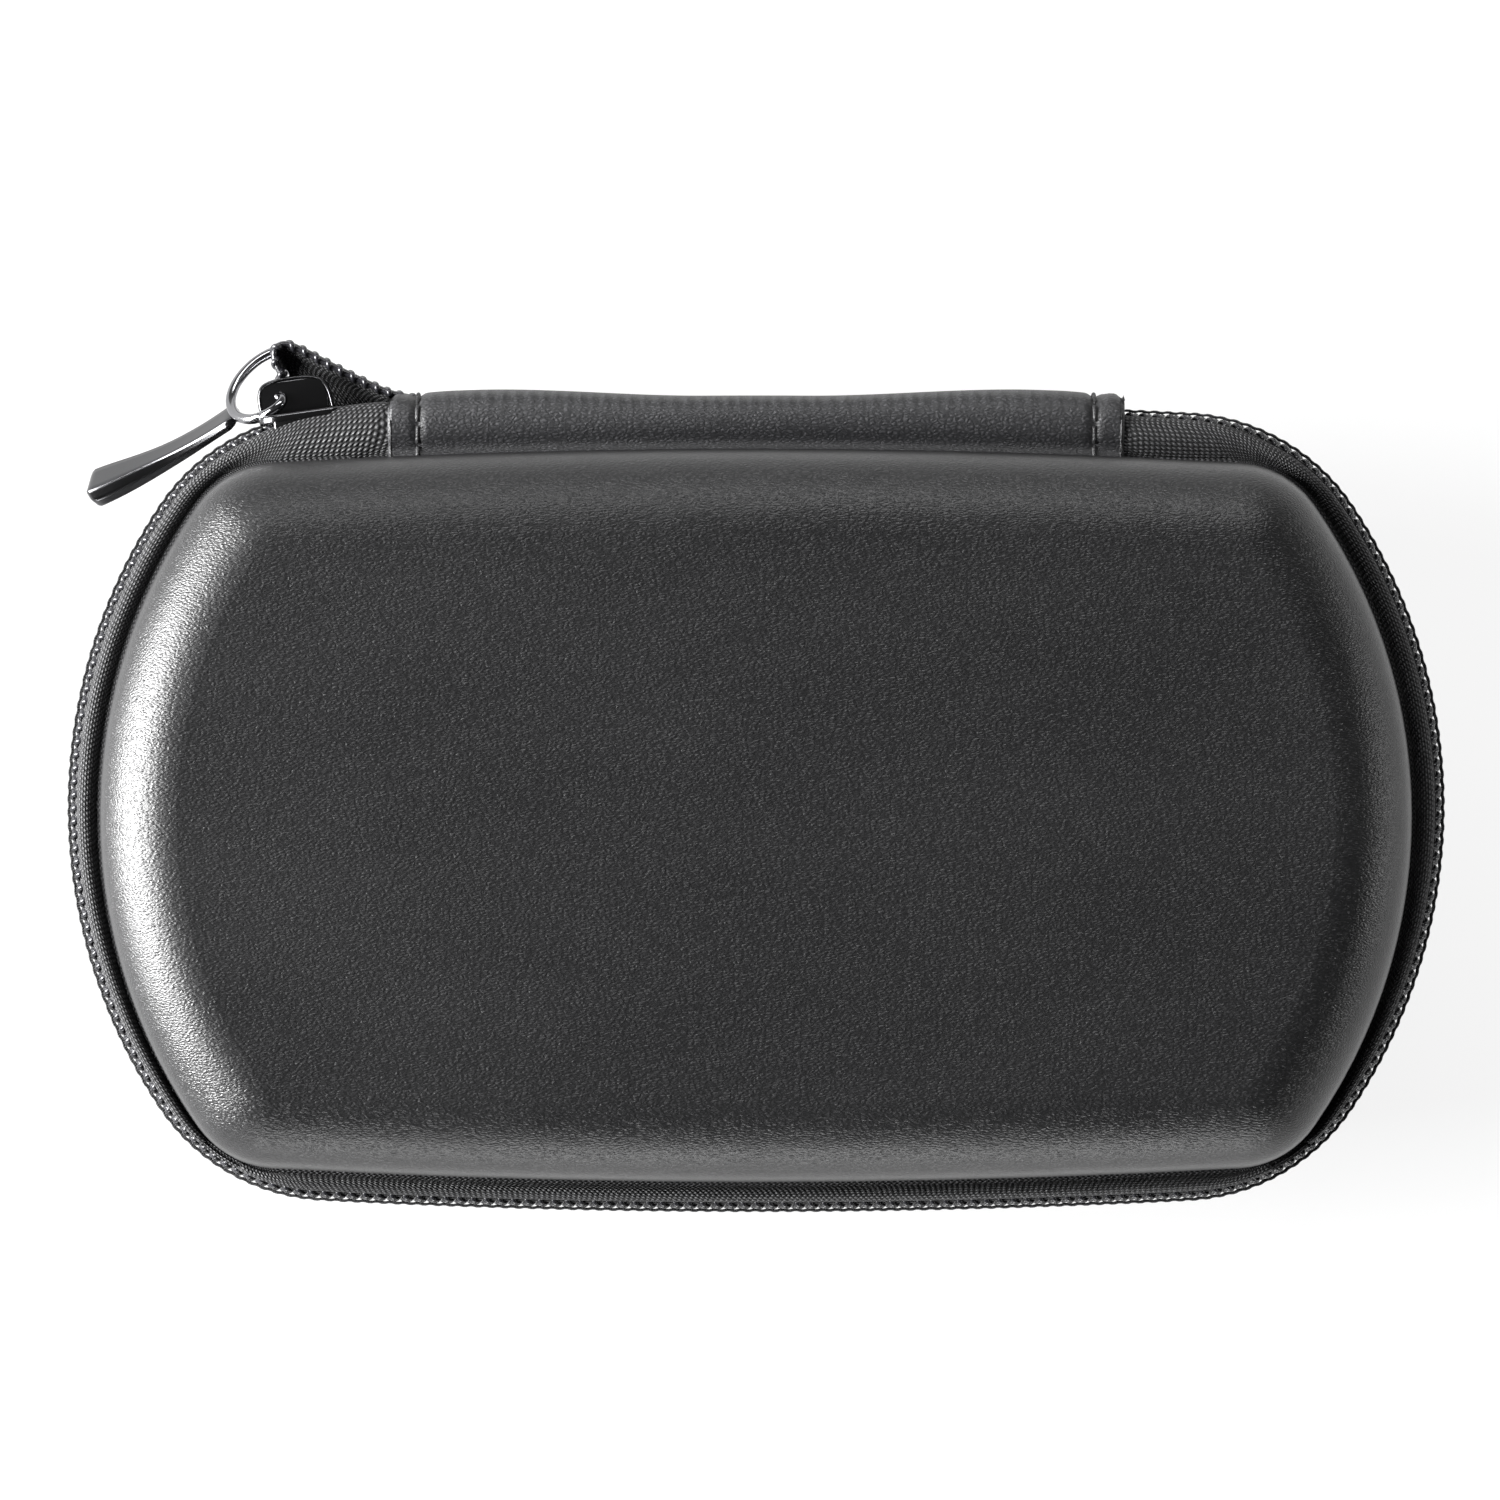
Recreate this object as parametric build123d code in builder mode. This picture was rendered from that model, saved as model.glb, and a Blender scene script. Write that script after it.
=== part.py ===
"""Hard headphone carrying case: two moulded half shells joined by a coil zip and a soft hinge.

The case lies on its back. +Z points up through the lid, +X runs along the case and +Y points at the
hinge. The origin is the middle of the flat face that the case lies on. Sizes are in millimetres.
"""

import os
from collections import namedtuple
from math import cos, hypot, radians, sin, sqrt, tan

from build123d import *

Outline = namedtuple("Outline", "length width end_radius bow_radius corner_radius centre_y")

# --- Overall sizes -------------------------------------------------------------------------------
CASE_LENGTH = 160.0  # over the zip, along X
CASE_WIDTH = 94.0  # over the zip, along Y
SHELL_DEPTH = 19.0  # rim to face of one half
RIM_GAP = 12.0  # between the two rims, bridged by the zip

# --- Outline: long bowed sides, round ends and blended corners -------------------------------------
END_RADIUS = 63.0
BOW_RADIUS = 985.0
ZIP_CORNER_RADIUS = 24.0
SHELL_CORNER_RADIUS = 11.5
SIDE_MARGIN = 3.8  # shell rim to the outside of the zip at each end
FRONT_MARGIN = 3.4  # the same at the opening side
HINGE_MARGIN = 5.4  # the same at the hinge side

# --- Shell layers ----------------------------------------------------------------------------------
SKIN = 0.8  # coated fabric
CORE = 2.9  # moulded foam
LINING = 0.7  # knitted fabric
GLUE = 0.05  # between two layers
DRAFT = 4.0  # degrees, side walls
FACE_RADIUS = 9.0  # side wall into face
BINDING = 1.2  # tape that covers the inner seam
BINDING_HEIGHT = 3.0

# --- Zip -------------------------------------------------------------------------------------------
COIL_THICKNESS = 1.8  # outwards
COIL_HEIGHT = 2.55  # one half of the chain, along Z
COIL_SPLIT = 0.45  # from the mid plane to each coil, room for the slider's neck
CORD_THICKNESS = 0.8
CORD_HEIGHT = 1.3
CORD_PLAY = 0.05
TAPE = 0.65
TAPE_SLOPE = 1.2  # level thickness of the sloping tape, so that it stays about TAPE thick
TAPE_EDGE = 0.6  # from the mid plane to the woven edge
TAPE_INSET = 2.2  # the tape comes out this far behind the shell's rim
TAPE_SHOULDER = 3.2  # from the mid plane to where the tape turns towards the rim

# --- Hinge -----------------------------------------------------------------------------------------
COVER_LENGTH = 84.4
COVER_THICKNESS = 1.2
COVER_PLAY = 0.15  # over the zip
COVER_INSET = 2.0  # tucked in under the rim
ZIP_TUCK = 17.0  # zip ends that run in under the cover
BACKING = 0.6
BACKING_LENGTH = 80.0
BACKING_REACH = 2.0  # past each rim
STITCH_LENGTH = 2.0
STITCH_THREAD = 0.4
STITCH_GAP = 0.6
STITCH_COUNT = 3
STITCH_INSET = 3.6  # from each end of the cover

# --- Pocket in the lid -----------------------------------------------------------------------------
MESH = 0.6
POCKET_EDGE_Y = 12.0
POCKET_RISE = 1.0  # above the rim
HEM_WIDTH = 5.0
HEM_THICKNESS = 1.6
POCKET_PLAY = 0.05

# --- Slider, pull ring and pull tab ----------------------------------------------------------------
SLIDER_ANGLE = 98.0  # degrees round the zip's rear left corner, from +X
SLIDER_LENGTH = 10.4
SLIDER_WIDTH = 8.8
INNER_PLATE_WIDTH = 6.8
PLATE = 1.05
PLATE_CORNER = 2.4
CHANNEL_OUT = 1.45  # from the chain's middle to the outer plate
CHANNEL_IN = 2.25  # to the inner plate, with room for the chain's curve
LIP = 0.7
LIP_DEPTH = 1.6
NECK = 0.6
NECK_LENGTH = 2.8
BRIDGE_LENGTH = 9.6
BRIDGE_HEIGHT = 4.1
BRIDGE_WIDTH = 1.6
BRIDGE_STRAP = 0.85
BRIDGE_CORNER = 1.5
WIRE = 1.15  # diameter
RING_BAR_BACK = 3.15  # from the middle of the slider to the ring's bar
RING_BAR_RISE = 1.28  # from the outer plate to the bar's underside
RING_NEAR = 1.75  # from the bar's middle to the near arm
RING_WIDTH = 10.2
RING_LENGTH = 6.0
RING_BULGE = 1.0
RING_CORNER = 1.3
RING_LEAN = 30.0  # degrees, bar away from -Z
RING_LEAN_TURN = 20.0  # degrees, way it leans, from +Y towards +X
RING_HEADING = 197.0  # degrees from +X, seen from above
TAB_HEADING = 212.0  # degrees from +X, seen from above
TAB_LENGTH = 21.0
TAB_SEAT = 3.65  # from the ring's near arm to the tab's middle
TAB_WIDTH = 4.8
TAB_HEAD_WIDTH = 4.0
TAB_HEAD = 1.0  # thickness beside the ring
TAB_TAIL = 2.6
TAB_TAIL_LIFT = 2.5
EYE_RADIUS = 1.35
EYE_PLAY = 0.08
TAB_CORNER = 1.2
TAB_EDGE = 0.3

# --- Loose end of the zip tape behind the slider ---------------------------------------------------
TAIL_RISE = 6.2  # above the hinge side of the zip
TAIL_REACH = 11.5  # from the cover's end to the fold
TAIL_WIDTH = 2.5
TAIL_DROP = 1.15  # from the mid plane

# --- Derived places --------------------------------------------------------------------------------
HEIGHT = 2 * SHELL_DEPTH + RIM_GAP
MID = HEIGHT / 2
LID_RIM = MID + RIM_GAP / 2
ZIP_CENTRE_Y = (HINGE_MARGIN - FRONT_MARGIN) / 2
HINGE_Y = ZIP_CENTRE_Y + CASE_WIDTH / 2
WALL = SKIN + CORE + LINING + 2 * GLUE
CHAIN_THICKNESS = COIL_THICKNESS + TAPE
COIL_TOP = MID + COIL_SPLIT + COIL_HEIGHT

ZIP = Outline(CASE_LENGTH, CASE_WIDTH, END_RADIUS, BOW_RADIUS, ZIP_CORNER_RADIUS, ZIP_CENTRE_Y)
SHELL = Outline(
    CASE_LENGTH - 2 * SIDE_MARGIN,
    CASE_WIDTH - FRONT_MARGIN - HINGE_MARGIN,
    END_RADIUS,
    BOW_RADIUS,
    SHELL_CORNER_RADIUS,
    0.0,
)
mid_plane = Plane.XY.offset(MID)


def crossing(end_x, end_radius, bow_y, bow_radius):
    """Upper right crossing of a circle centred at (end_x, 0) and one centred at (0, bow_y)."""
    apart = hypot(end_x, bow_y)
    along = (end_radius**2 - bow_radius**2 + apart**2) / (2 * apart)
    across = sqrt(end_radius**2 - along**2)
    to_bow = (-end_x / apart, bow_y / apart)
    x = end_x + along * to_bow[0] - across * to_bow[1]
    y = along * to_bow[1] + across * to_bow[0]
    return x, y


def outline(shape, inset=0.0):
    """Face inside an outline, moved inwards by inset. Every arc keeps its centre."""
    half_length = shape.length / 2 - inset
    half_width = shape.width / 2 - inset
    end_radius = shape.end_radius - inset
    bow_radius = shape.bow_radius - inset
    x, y = crossing(half_length - end_radius, end_radius, half_width - bow_radius, bow_radius)
    with BuildSketch() as face:
        with BuildLine():
            ThreePointArc((x, -y), (half_length, 0), (x, y))
            ThreePointArc((x, y), (0, half_width), (-x, y))
            ThreePointArc((-x, y), (-half_length, 0), (-x, -y))
            ThreePointArc((-x, -y), (0, -half_width), (x, -y))
        make_face()
        fillet(face.vertices(), shape.corner_radius - inset)
    return face.sketch.moved(Location((0, shape.centre_y, 0)))


def ring(shape, outer, inner, low, high):
    """Band between two insets of an outline, from height low to height high."""
    with BuildPart() as band:
        with BuildSketch(Plane.XY.offset(low)):
            add(outline(shape, outer))
            add(outline(shape, inner), mode=Mode.SUBTRACT)
        extrude(amount=high - low)
    return band.part


def funnel(low_shape, low_inset, low, high_shape, high_inset, high):
    """Solid between two outlines at two heights."""
    with BuildPart() as body:
        with BuildSketch(Plane.XY.offset(low)):
            add(outline(low_shape, low_inset))
        with BuildSketch(Plane.XY.offset(high)):
            add(outline(high_shape, high_inset))
        loft(ruled=True)
    return body.part


def shell_block(inset):
    """Solid inside the lid's outer surface, moved inwards by inset."""
    depth = SHELL_DEPTH - inset
    narrowing = depth * tan(radians(DRAFT))
    with BuildPart() as block:
        add(funnel(SHELL, inset, LID_RIM, SHELL, inset + narrowing, LID_RIM + depth))
        fillet(block.faces().sort_by(Axis.Z)[-1].edges(), FACE_RADIUS - inset)
    return block.part


def mirrored(part):
    """The back half's copy of a lid piece."""
    with BuildPart() as copy:
        mirror(part, about=mid_plane)
    return copy.part


def save(part, name):
    part.label = name
    export_step(part, f"parts/{name}.step")


os.makedirs("parts", exist_ok=True)

# === Shell layers, lid side =========================================================================
core_inset = SKIN + GLUE
lining_inset = core_inset + CORE + GLUE
binding_inset = WALL + GLUE
outer_block = shell_block(0.0)
under_skin = shell_block(SKIN)
core_block = shell_block(core_inset)
return_block = shell_block(core_inset + CORE)
lining_block = shell_block(lining_inset)
cavity_block = shell_block(WALL)
binding_block = shell_block(binding_inset)
binding_hollow = shell_block(binding_inset + BINDING)
above_return = Plane.XY.offset(LID_RIM + SKIN)
above_glue = Plane.XY.offset(LID_RIM + core_inset)

with BuildPart() as under_skin_above_return:
    add(under_skin)
    split(bisect_by=above_return)

with BuildPart() as lid_skin:  # its rim turns in over the foam's edge
    add(outer_block)
    add(under_skin_above_return.part, mode=Mode.SUBTRACT)
    add(return_block, mode=Mode.SUBTRACT)

with BuildPart() as lid_core:
    add(core_block)
    add(return_block, mode=Mode.SUBTRACT)
    split(bisect_by=above_glue)

with BuildPart() as lid_lining:
    add(lining_block)
    add(cavity_block, mode=Mode.SUBTRACT)

with BuildPart() as lid_binding:
    add(binding_block)
    add(binding_hollow, mode=Mode.SUBTRACT)
    split(bisect_by=Plane.XY.offset(LID_RIM + BINDING_HEIGHT), keep=Keep.BOTTOM)

# === Zip, lid side ==================================================================================
tape_inner_inset = binding_inset + BINDING
tape_flange = ring(SHELL, TAPE_INSET, tape_inner_inset, LID_RIM - TAPE, LID_RIM)
tape_web = ring(ZIP, COIL_THICKNESS, CHAIN_THICKNESS, MID + TAPE_EDGE, MID + TAPE_SHOULDER)
tape_outside = funnel(ZIP, COIL_THICKNESS, MID + TAPE_SHOULDER, SHELL, TAPE_INSET, LID_RIM)
tape_inside = funnel(
    ZIP, CHAIN_THICKNESS, MID + TAPE_SHOULDER, SHELL, TAPE_INSET + TAPE_SLOPE, LID_RIM
)
window_half = COVER_LENGTH / 2 - ZIP_TUCK

with BuildPart() as hinge_window:  # where the zip stops short under the hinge cover
    with Locations((0, HINGE_Y, MID)):
        Box(2 * window_half, CASE_WIDTH / 2, HEIGHT)

with BuildPart() as lid_zipper_tape:
    add(tape_outside)
    add(tape_inside, mode=Mode.SUBTRACT)
    add(tape_web)
    add(tape_flange)
    add(hinge_window.part, mode=Mode.SUBTRACT)

cord_middle = COIL_THICKNESS / 2
cord_low = MID + COIL_SPLIT + (COIL_HEIGHT - CORD_HEIGHT) / 2
cord_high = cord_low + CORD_HEIGHT
cord_outer = cord_middle - CORD_THICKNESS / 2
cord_inner = cord_middle + CORD_THICKNESS / 2
coil_body = ring(ZIP, 0.0, COIL_THICKNESS, MID + COIL_SPLIT, COIL_TOP)
coil_bore = ring(
    ZIP, cord_outer - CORD_PLAY, cord_inner + CORD_PLAY, cord_low - CORD_PLAY, cord_high + CORD_PLAY
)
cord_body = ring(ZIP, cord_outer, cord_inner, cord_low, cord_high)

with BuildPart() as lid_zipper_coil:
    add(coil_body)
    add(coil_bore, mode=Mode.SUBTRACT)
    add(hinge_window.part, mode=Mode.SUBTRACT)

with BuildPart() as lid_coil_cord:
    add(cord_body)
    add(hinge_window.part, mode=Mode.SUBTRACT)

# === Hinge ==========================================================================================
cover_out = -(COVER_PLAY + COVER_THICKNESS)
cover_outside = funnel(ZIP, cover_out, MID + TAPE_SHOULDER, SHELL, 0.0, LID_RIM)
cover_inside = funnel(ZIP, -COVER_PLAY, MID + TAPE_SHOULDER, SHELL, COVER_INSET, LID_RIM)
cover_wall = ring(ZIP, cover_out, -COVER_PLAY, MID - TAPE_SHOULDER, MID + TAPE_SHOULDER)

with BuildPart() as cover_top:
    add(cover_outside)
    add(cover_inside, mode=Mode.SUBTRACT)

with BuildPart() as hinge_cover:
    add(cover_top.part)
    mirror(cover_top.part, about=mid_plane)
    add(cover_wall)
    with Locations((0, HINGE_Y, MID)):
        Box(COVER_LENGTH, CASE_WIDTH / 2, HEIGHT, mode=Mode.INTERSECT)

backing_inset = tape_inner_inset + BACKING_REACH * tan(radians(DRAFT)) + GLUE
backing_band = ring(
    SHELL,
    backing_inset,
    backing_inset + BACKING,
    MID - RIM_GAP / 2 - BACKING_REACH,
    LID_RIM + BACKING_REACH,
)

with BuildPart() as hinge_backing:
    add(backing_band)
    with Locations((0, HINGE_Y, MID)):
        Box(BACKING_LENGTH, CASE_WIDTH / 2, HEIGHT, mode=Mode.INTERSECT)


def bow_y(x, out):
    """Height of the zip's hinge side at x, moved outwards by out."""
    radius = BOW_RADIUS + out
    return HINGE_Y - BOW_RADIUS + sqrt(radius**2 - x**2)


def stitch_row(x):
    """One row of thread across the cover, along Z."""
    face_y = bow_y(x, -cover_out)
    pitch = STITCH_LENGTH + STITCH_GAP
    with BuildPart() as row:
        with Locations(
            [
                (x, face_y + STITCH_THREAD / 2 + GLUE, MID + pitch * (n - (STITCH_COUNT - 1) / 2))
                for n in range(STITCH_COUNT)
            ]
        ):
            Box(STITCH_THREAD, STITCH_THREAD, STITCH_LENGTH)
    return row.part


stitch_x = COVER_LENGTH / 2 - STITCH_INSET
left_stitches = stitch_row(-stitch_x)
right_stitches = stitch_row(stitch_x)

# === Pocket in the lid ==============================================================================
pocket_inset = tape_inner_inset + POCKET_PLAY
pocket_z = LID_RIM + POCKET_RISE
pocket_face = outline(SHELL, pocket_inset + POCKET_RISE)
reach = CASE_LENGTH

with BuildPart() as mesh_pocket:
    with BuildSketch(Plane.XY.offset(pocket_z)):
        add(pocket_face)
        with Locations((0, POCKET_EDGE_Y + reach / 2)):
            Rectangle(2 * reach, reach, mode=Mode.SUBTRACT)
    extrude(amount=MESH)

with BuildPart() as pocket_elastic:
    with BuildSketch(Plane.XY.offset(pocket_z)):
        add(pocket_face)
        with Locations((0, POCKET_EDGE_Y + HEM_WIDTH / 2)):
            Rectangle(2 * reach, HEM_WIDTH, mode=Mode.INTERSECT)
    extrude(amount=HEM_THICKNESS)

# === Slider =========================================================================================
chain_inset = CHAIN_THICKNESS / 2
end_x = ZIP.length / 2 - ZIP.end_radius
corner_x, corner_y = crossing(
    end_x,
    ZIP.end_radius - ZIP.corner_radius,
    ZIP.width / 2 - ZIP.bow_radius,
    ZIP.bow_radius - ZIP.corner_radius,
)
corner_centre = Vector(-corner_x, corner_y + ZIP_CENTRE_Y, MID)
outwards = Vector(cos(radians(SLIDER_ANGLE)), sin(radians(SLIDER_ANGLE)), 0)
travel = Vector(outwards.Y, -outwards.X, 0)  # towards the hinge cover
slider_middle = corner_centre + outwards * (ZIP.corner_radius - chain_inset)
# In this plane X is the way the slider closes, Y points out of the case and Z up.
slider_plane = Plane(origin=slider_middle, x_dir=travel, z_dir=(0, 0, 1))
plate_top = CHANNEL_OUT + PLATE


def level(height):
    """Plane across the slider at this distance out of the chain's middle, with its Y along -Z."""
    return Plane(origin=slider_middle + outwards * height, x_dir=travel, z_dir=outwards)


with BuildPart() as slider_body:
    with BuildSketch(level(CHANNEL_OUT)):
        RectangleRounded(SLIDER_LENGTH, SLIDER_WIDTH, PLATE_CORNER)
    extrude(amount=PLATE)
    with BuildSketch(level(CHANNEL_OUT - LIP_DEPTH)):
        lip_y = (SLIDER_WIDTH - LIP) / 2
        with Locations((0, lip_y), (0, -lip_y)):
            Rectangle(SLIDER_LENGTH - 2 * PLATE_CORNER, LIP)
    extrude(amount=LIP_DEPTH)
    with BuildSketch(level(-CHANNEL_IN - PLATE)):
        RectangleRounded(SLIDER_LENGTH, INNER_PLATE_WIDTH, PLATE_CORNER)
    extrude(amount=PLATE)
    with BuildSketch(level(-CHANNEL_IN)):
        with Locations((SLIDER_LENGTH / 2 - NECK_LENGTH / 2 - NECK, 0)):
            Rectangle(NECK_LENGTH, NECK)
    extrude(amount=CHANNEL_IN + CHANNEL_OUT)
    with BuildSketch(slider_plane.offset(-BRIDGE_WIDTH / 2)) as arch:
        with Locations((0, plate_top + BRIDGE_HEIGHT / 2)):
            Rectangle(BRIDGE_LENGTH, BRIDGE_HEIGHT)
        fillet(arch.vertices().group_by(Axis.Y)[-1], BRIDGE_CORNER)
        with Locations((0, plate_top + (BRIDGE_HEIGHT - BRIDGE_STRAP) / 2)):
            Rectangle(
                BRIDGE_LENGTH - 2 * BRIDGE_STRAP, BRIDGE_HEIGHT - BRIDGE_STRAP, mode=Mode.SUBTRACT
            )
    extrude(amount=BRIDGE_WIDTH)

# === Pull ring and pull tab =========================================================================
lean = radians(RING_LEAN)
turn = radians(RING_LEAN_TURN)
bar_way = Vector(sin(turn) * sin(lean), cos(turn) * sin(lean), -cos(lean))


def square_way(heading):
    """Direction square to the bar that has this heading as seen from above."""
    level_way = Vector(cos(radians(heading)), sin(radians(heading)), 0)
    sink = -level_way.dot(bar_way) / bar_way.Z
    return (level_way + Vector(0, 0, sink)).normalized()


ring_way = square_way(RING_HEADING)
tab_way = square_way(TAB_HEADING)
bar_height = plate_top + RING_BAR_RISE + WIRE / 2
bar_middle = slider_middle - travel * RING_BAR_BACK + outwards * bar_height
# In this plane X runs from the slider to the tab and Y along the bar, away from the lid's face.
ring_plane = Plane(origin=bar_middle, x_dir=ring_way, z_dir=ring_way.cross(bar_way))
ring_far = RING_WIDTH - RING_NEAR

with BuildSketch(ring_plane) as loop:
    with BuildLine():
        Polyline(
            (0, -RING_NEAR),
            (RING_LENGTH / 2, -RING_NEAR - RING_BULGE),
            (RING_LENGTH, -RING_NEAR + TAB_EDGE),
            (RING_LENGTH, ring_far - TAB_EDGE),
            (RING_LENGTH / 2, ring_far + RING_BULGE),
            (0, ring_far),
            close=True,
        )
    make_face()
    fillet(loop.vertices(), RING_CORNER)

wire_path = loop.sketch.faces()[0].outer_wire()

with BuildPart() as pull_ring:
    with BuildSketch(Plane(origin=wire_path @ 0, z_dir=wire_path % 0)):
        Circle(WIRE / 2)
    sweep(path=wire_path)

eye_middle = bar_middle + ring_way * RING_LENGTH + bar_way * (TAB_SEAT - RING_NEAR)
# In this plane X runs down the tab, Y is its thickness towards the outside and Z along the bar.
tab_plane = Plane(origin=eye_middle, x_dir=tab_way, z_dir=bar_way * -1)
tab_face_plane = Plane(origin=eye_middle, x_dir=tab_way, z_dir=tab_way.cross(bar_way))

with BuildPart() as pull_tab:
    with BuildSketch(tab_plane.offset(-TAB_WIDTH / 2)):
        with BuildLine():
            top = ThreePointArc(
                (0, TAB_HEAD / 2),
                (TAB_LENGTH * 0.55, TAB_HEAD / 2 + TAB_TAIL_LIFT * 0.2),
                (TAB_LENGTH, TAB_TAIL_LIFT),
            )
            tail = Line(top @ 1, (TAB_LENGTH, TAB_TAIL_LIFT - TAB_TAIL))
            under = ThreePointArc(
                tail @ 1,
                (TAB_LENGTH * 0.5, -TAB_HEAD / 2 - 0.1),
                (0, -TAB_HEAD / 2),
            )
            Line(under @ 1, top @ 0)
        make_face()
    extrude(amount=TAB_WIDTH)
    with BuildSketch(tab_face_plane.offset(-TAB_WIDTH)) as plan:
        with BuildLine():
            Polyline(
                (0, -TAB_HEAD_WIDTH / 2),
                (TAB_LENGTH, -TAB_WIDTH / 2),
                (TAB_LENGTH, TAB_WIDTH / 2),
                (0, TAB_HEAD_WIDTH / 2),
                close=True,
            )
        make_face()
        fillet(plan.vertices().filter_by(lambda v: abs(v.Y) > TAB_HEAD_WIDTH / 2 + 0.01), TAB_CORNER)
    extrude(amount=2 * TAB_WIDTH, mode=Mode.INTERSECT)
    with BuildSketch(tab_plane.offset(-TAB_HEAD_WIDTH / 2)):
        Circle(EYE_RADIUS)
    extrude(amount=TAB_HEAD_WIDTH)
    with BuildSketch(tab_plane.offset(-TAB_WIDTH)):
        Circle(WIRE / 2 + EYE_PLAY)
    extrude(amount=2 * TAB_WIDTH, mode=Mode.SUBTRACT)

# === Loose tape end behind the slider ===============================================================
tail_start = Vector(-COVER_LENGTH / 2 - GLUE, bow_y(COVER_LENGTH / 2, COVER_THICKNESS / 2))
tail_top = Vector(tail_start.X - TAIL_REACH, HINGE_Y + TAIL_RISE)

with BuildPart() as tape_tail:
    with BuildSketch(Plane.XY.offset(MID - TAIL_DROP - TAIL_WIDTH)):
        with BuildLine():
            rise = ThreePointArc(
                (tail_start.X, tail_start.Y),
                ((tail_start.X + tail_top.X) / 2, tail_start.Y + TAIL_RISE * 0.45),
                (tail_top.X, tail_top.Y),
            )
            offset(rise, amount=TAPE, side=Side.LEFT)
        make_face()
    extrude(amount=TAIL_WIDTH)

# === Back half ======================================================================================
back_skin = mirrored(lid_skin.part)
back_core = mirrored(lid_core.part)
back_lining = mirrored(lid_lining.part)
back_binding = mirrored(lid_binding.part)
back_zipper_coil = mirrored(lid_zipper_coil.part)
back_coil_cord = mirrored(lid_coil_cord.part)

with BuildPart() as back_zipper_tape:
    mirror(lid_zipper_tape.part, about=mid_plane)
    add(tape_tail.part)

save(lid_skin.part, "lid_skin")
save(lid_core.part, "lid_core")
save(lid_lining.part, "lid_lining")
save(lid_binding.part, "lid_seam_binding")
save(lid_zipper_tape.part, "lid_zipper_tape")
save(lid_zipper_coil.part, "lid_zipper_coil")
save(lid_coil_cord.part, "lid_coil_cord")
save(mesh_pocket.part, "mesh_pocket")
save(pocket_elastic.part, "pocket_elastic")
save(back_skin, "back_skin")
save(back_core, "back_core")
save(back_lining, "back_lining")
save(back_binding, "back_seam_binding")
save(back_zipper_tape.part, "back_zipper_tape")
save(back_zipper_coil, "back_zipper_coil")
save(back_coil_cord, "back_coil_cord")
save(hinge_cover.part, "hinge_cover")
save(hinge_backing.part, "hinge_backing")
save(left_stitches, "hinge_stitches_left")
save(right_stitches, "hinge_stitches_right")
save(slider_body.part, "slider_body")
save(pull_ring.part, "pull_ring")
save(pull_tab.part, "pull_tab")

print("hinge axis y, z", round(HINGE_Y, 4), MID)
print("slider corner centre", corner_centre)
print("ring bar", bar_middle, "way", bar_way)
print("tab eye", eye_middle, "tab way", tab_way)
print("tab tip", eye_middle + tab_way * TAB_LENGTH)
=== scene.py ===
# %% [markdown]
# # A zip-round headphone case
# The frame holds the solids of the case at their real places, in metres: shell layers, zip, hinge,
# slider, ring and tab. This script gives them their finish and models what a plain solid can't show:
# the turns of the coil, the weave, the stitched hinge and the cast slider.

from math import atan2, cos, hypot, pi, radians, sin, sqrt

import bmesh
import bpy
from mathutils import Matrix, Vector


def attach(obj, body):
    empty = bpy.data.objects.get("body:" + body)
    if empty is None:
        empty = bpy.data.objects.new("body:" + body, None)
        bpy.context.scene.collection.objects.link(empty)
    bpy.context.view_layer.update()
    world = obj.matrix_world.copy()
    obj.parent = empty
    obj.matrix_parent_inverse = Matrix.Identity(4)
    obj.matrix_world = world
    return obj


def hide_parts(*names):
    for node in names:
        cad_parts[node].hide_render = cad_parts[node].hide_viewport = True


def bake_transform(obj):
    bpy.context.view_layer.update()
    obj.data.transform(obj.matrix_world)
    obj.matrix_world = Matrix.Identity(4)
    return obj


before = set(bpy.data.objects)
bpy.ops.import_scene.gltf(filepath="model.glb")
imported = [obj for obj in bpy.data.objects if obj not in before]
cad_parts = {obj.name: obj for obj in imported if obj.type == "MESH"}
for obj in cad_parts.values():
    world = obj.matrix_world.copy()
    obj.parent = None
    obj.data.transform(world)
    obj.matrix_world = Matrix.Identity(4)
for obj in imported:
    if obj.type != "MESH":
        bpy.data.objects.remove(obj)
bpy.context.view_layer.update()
MM = 0.001
MID = 25.0  # height of the zip's middle, in millimetres
print("nodes", len(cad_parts))

# %% [markdown]
# ## The line of the zip
# Everything at the zip follows one closed line: two long bows, two round ends and four corners, all
# arcs. A curve object could hold it, but arcs written as centre, radius and angles also give the
# outward direction at each point, which is what a coil, a tape and a row of stitches need.


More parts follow.
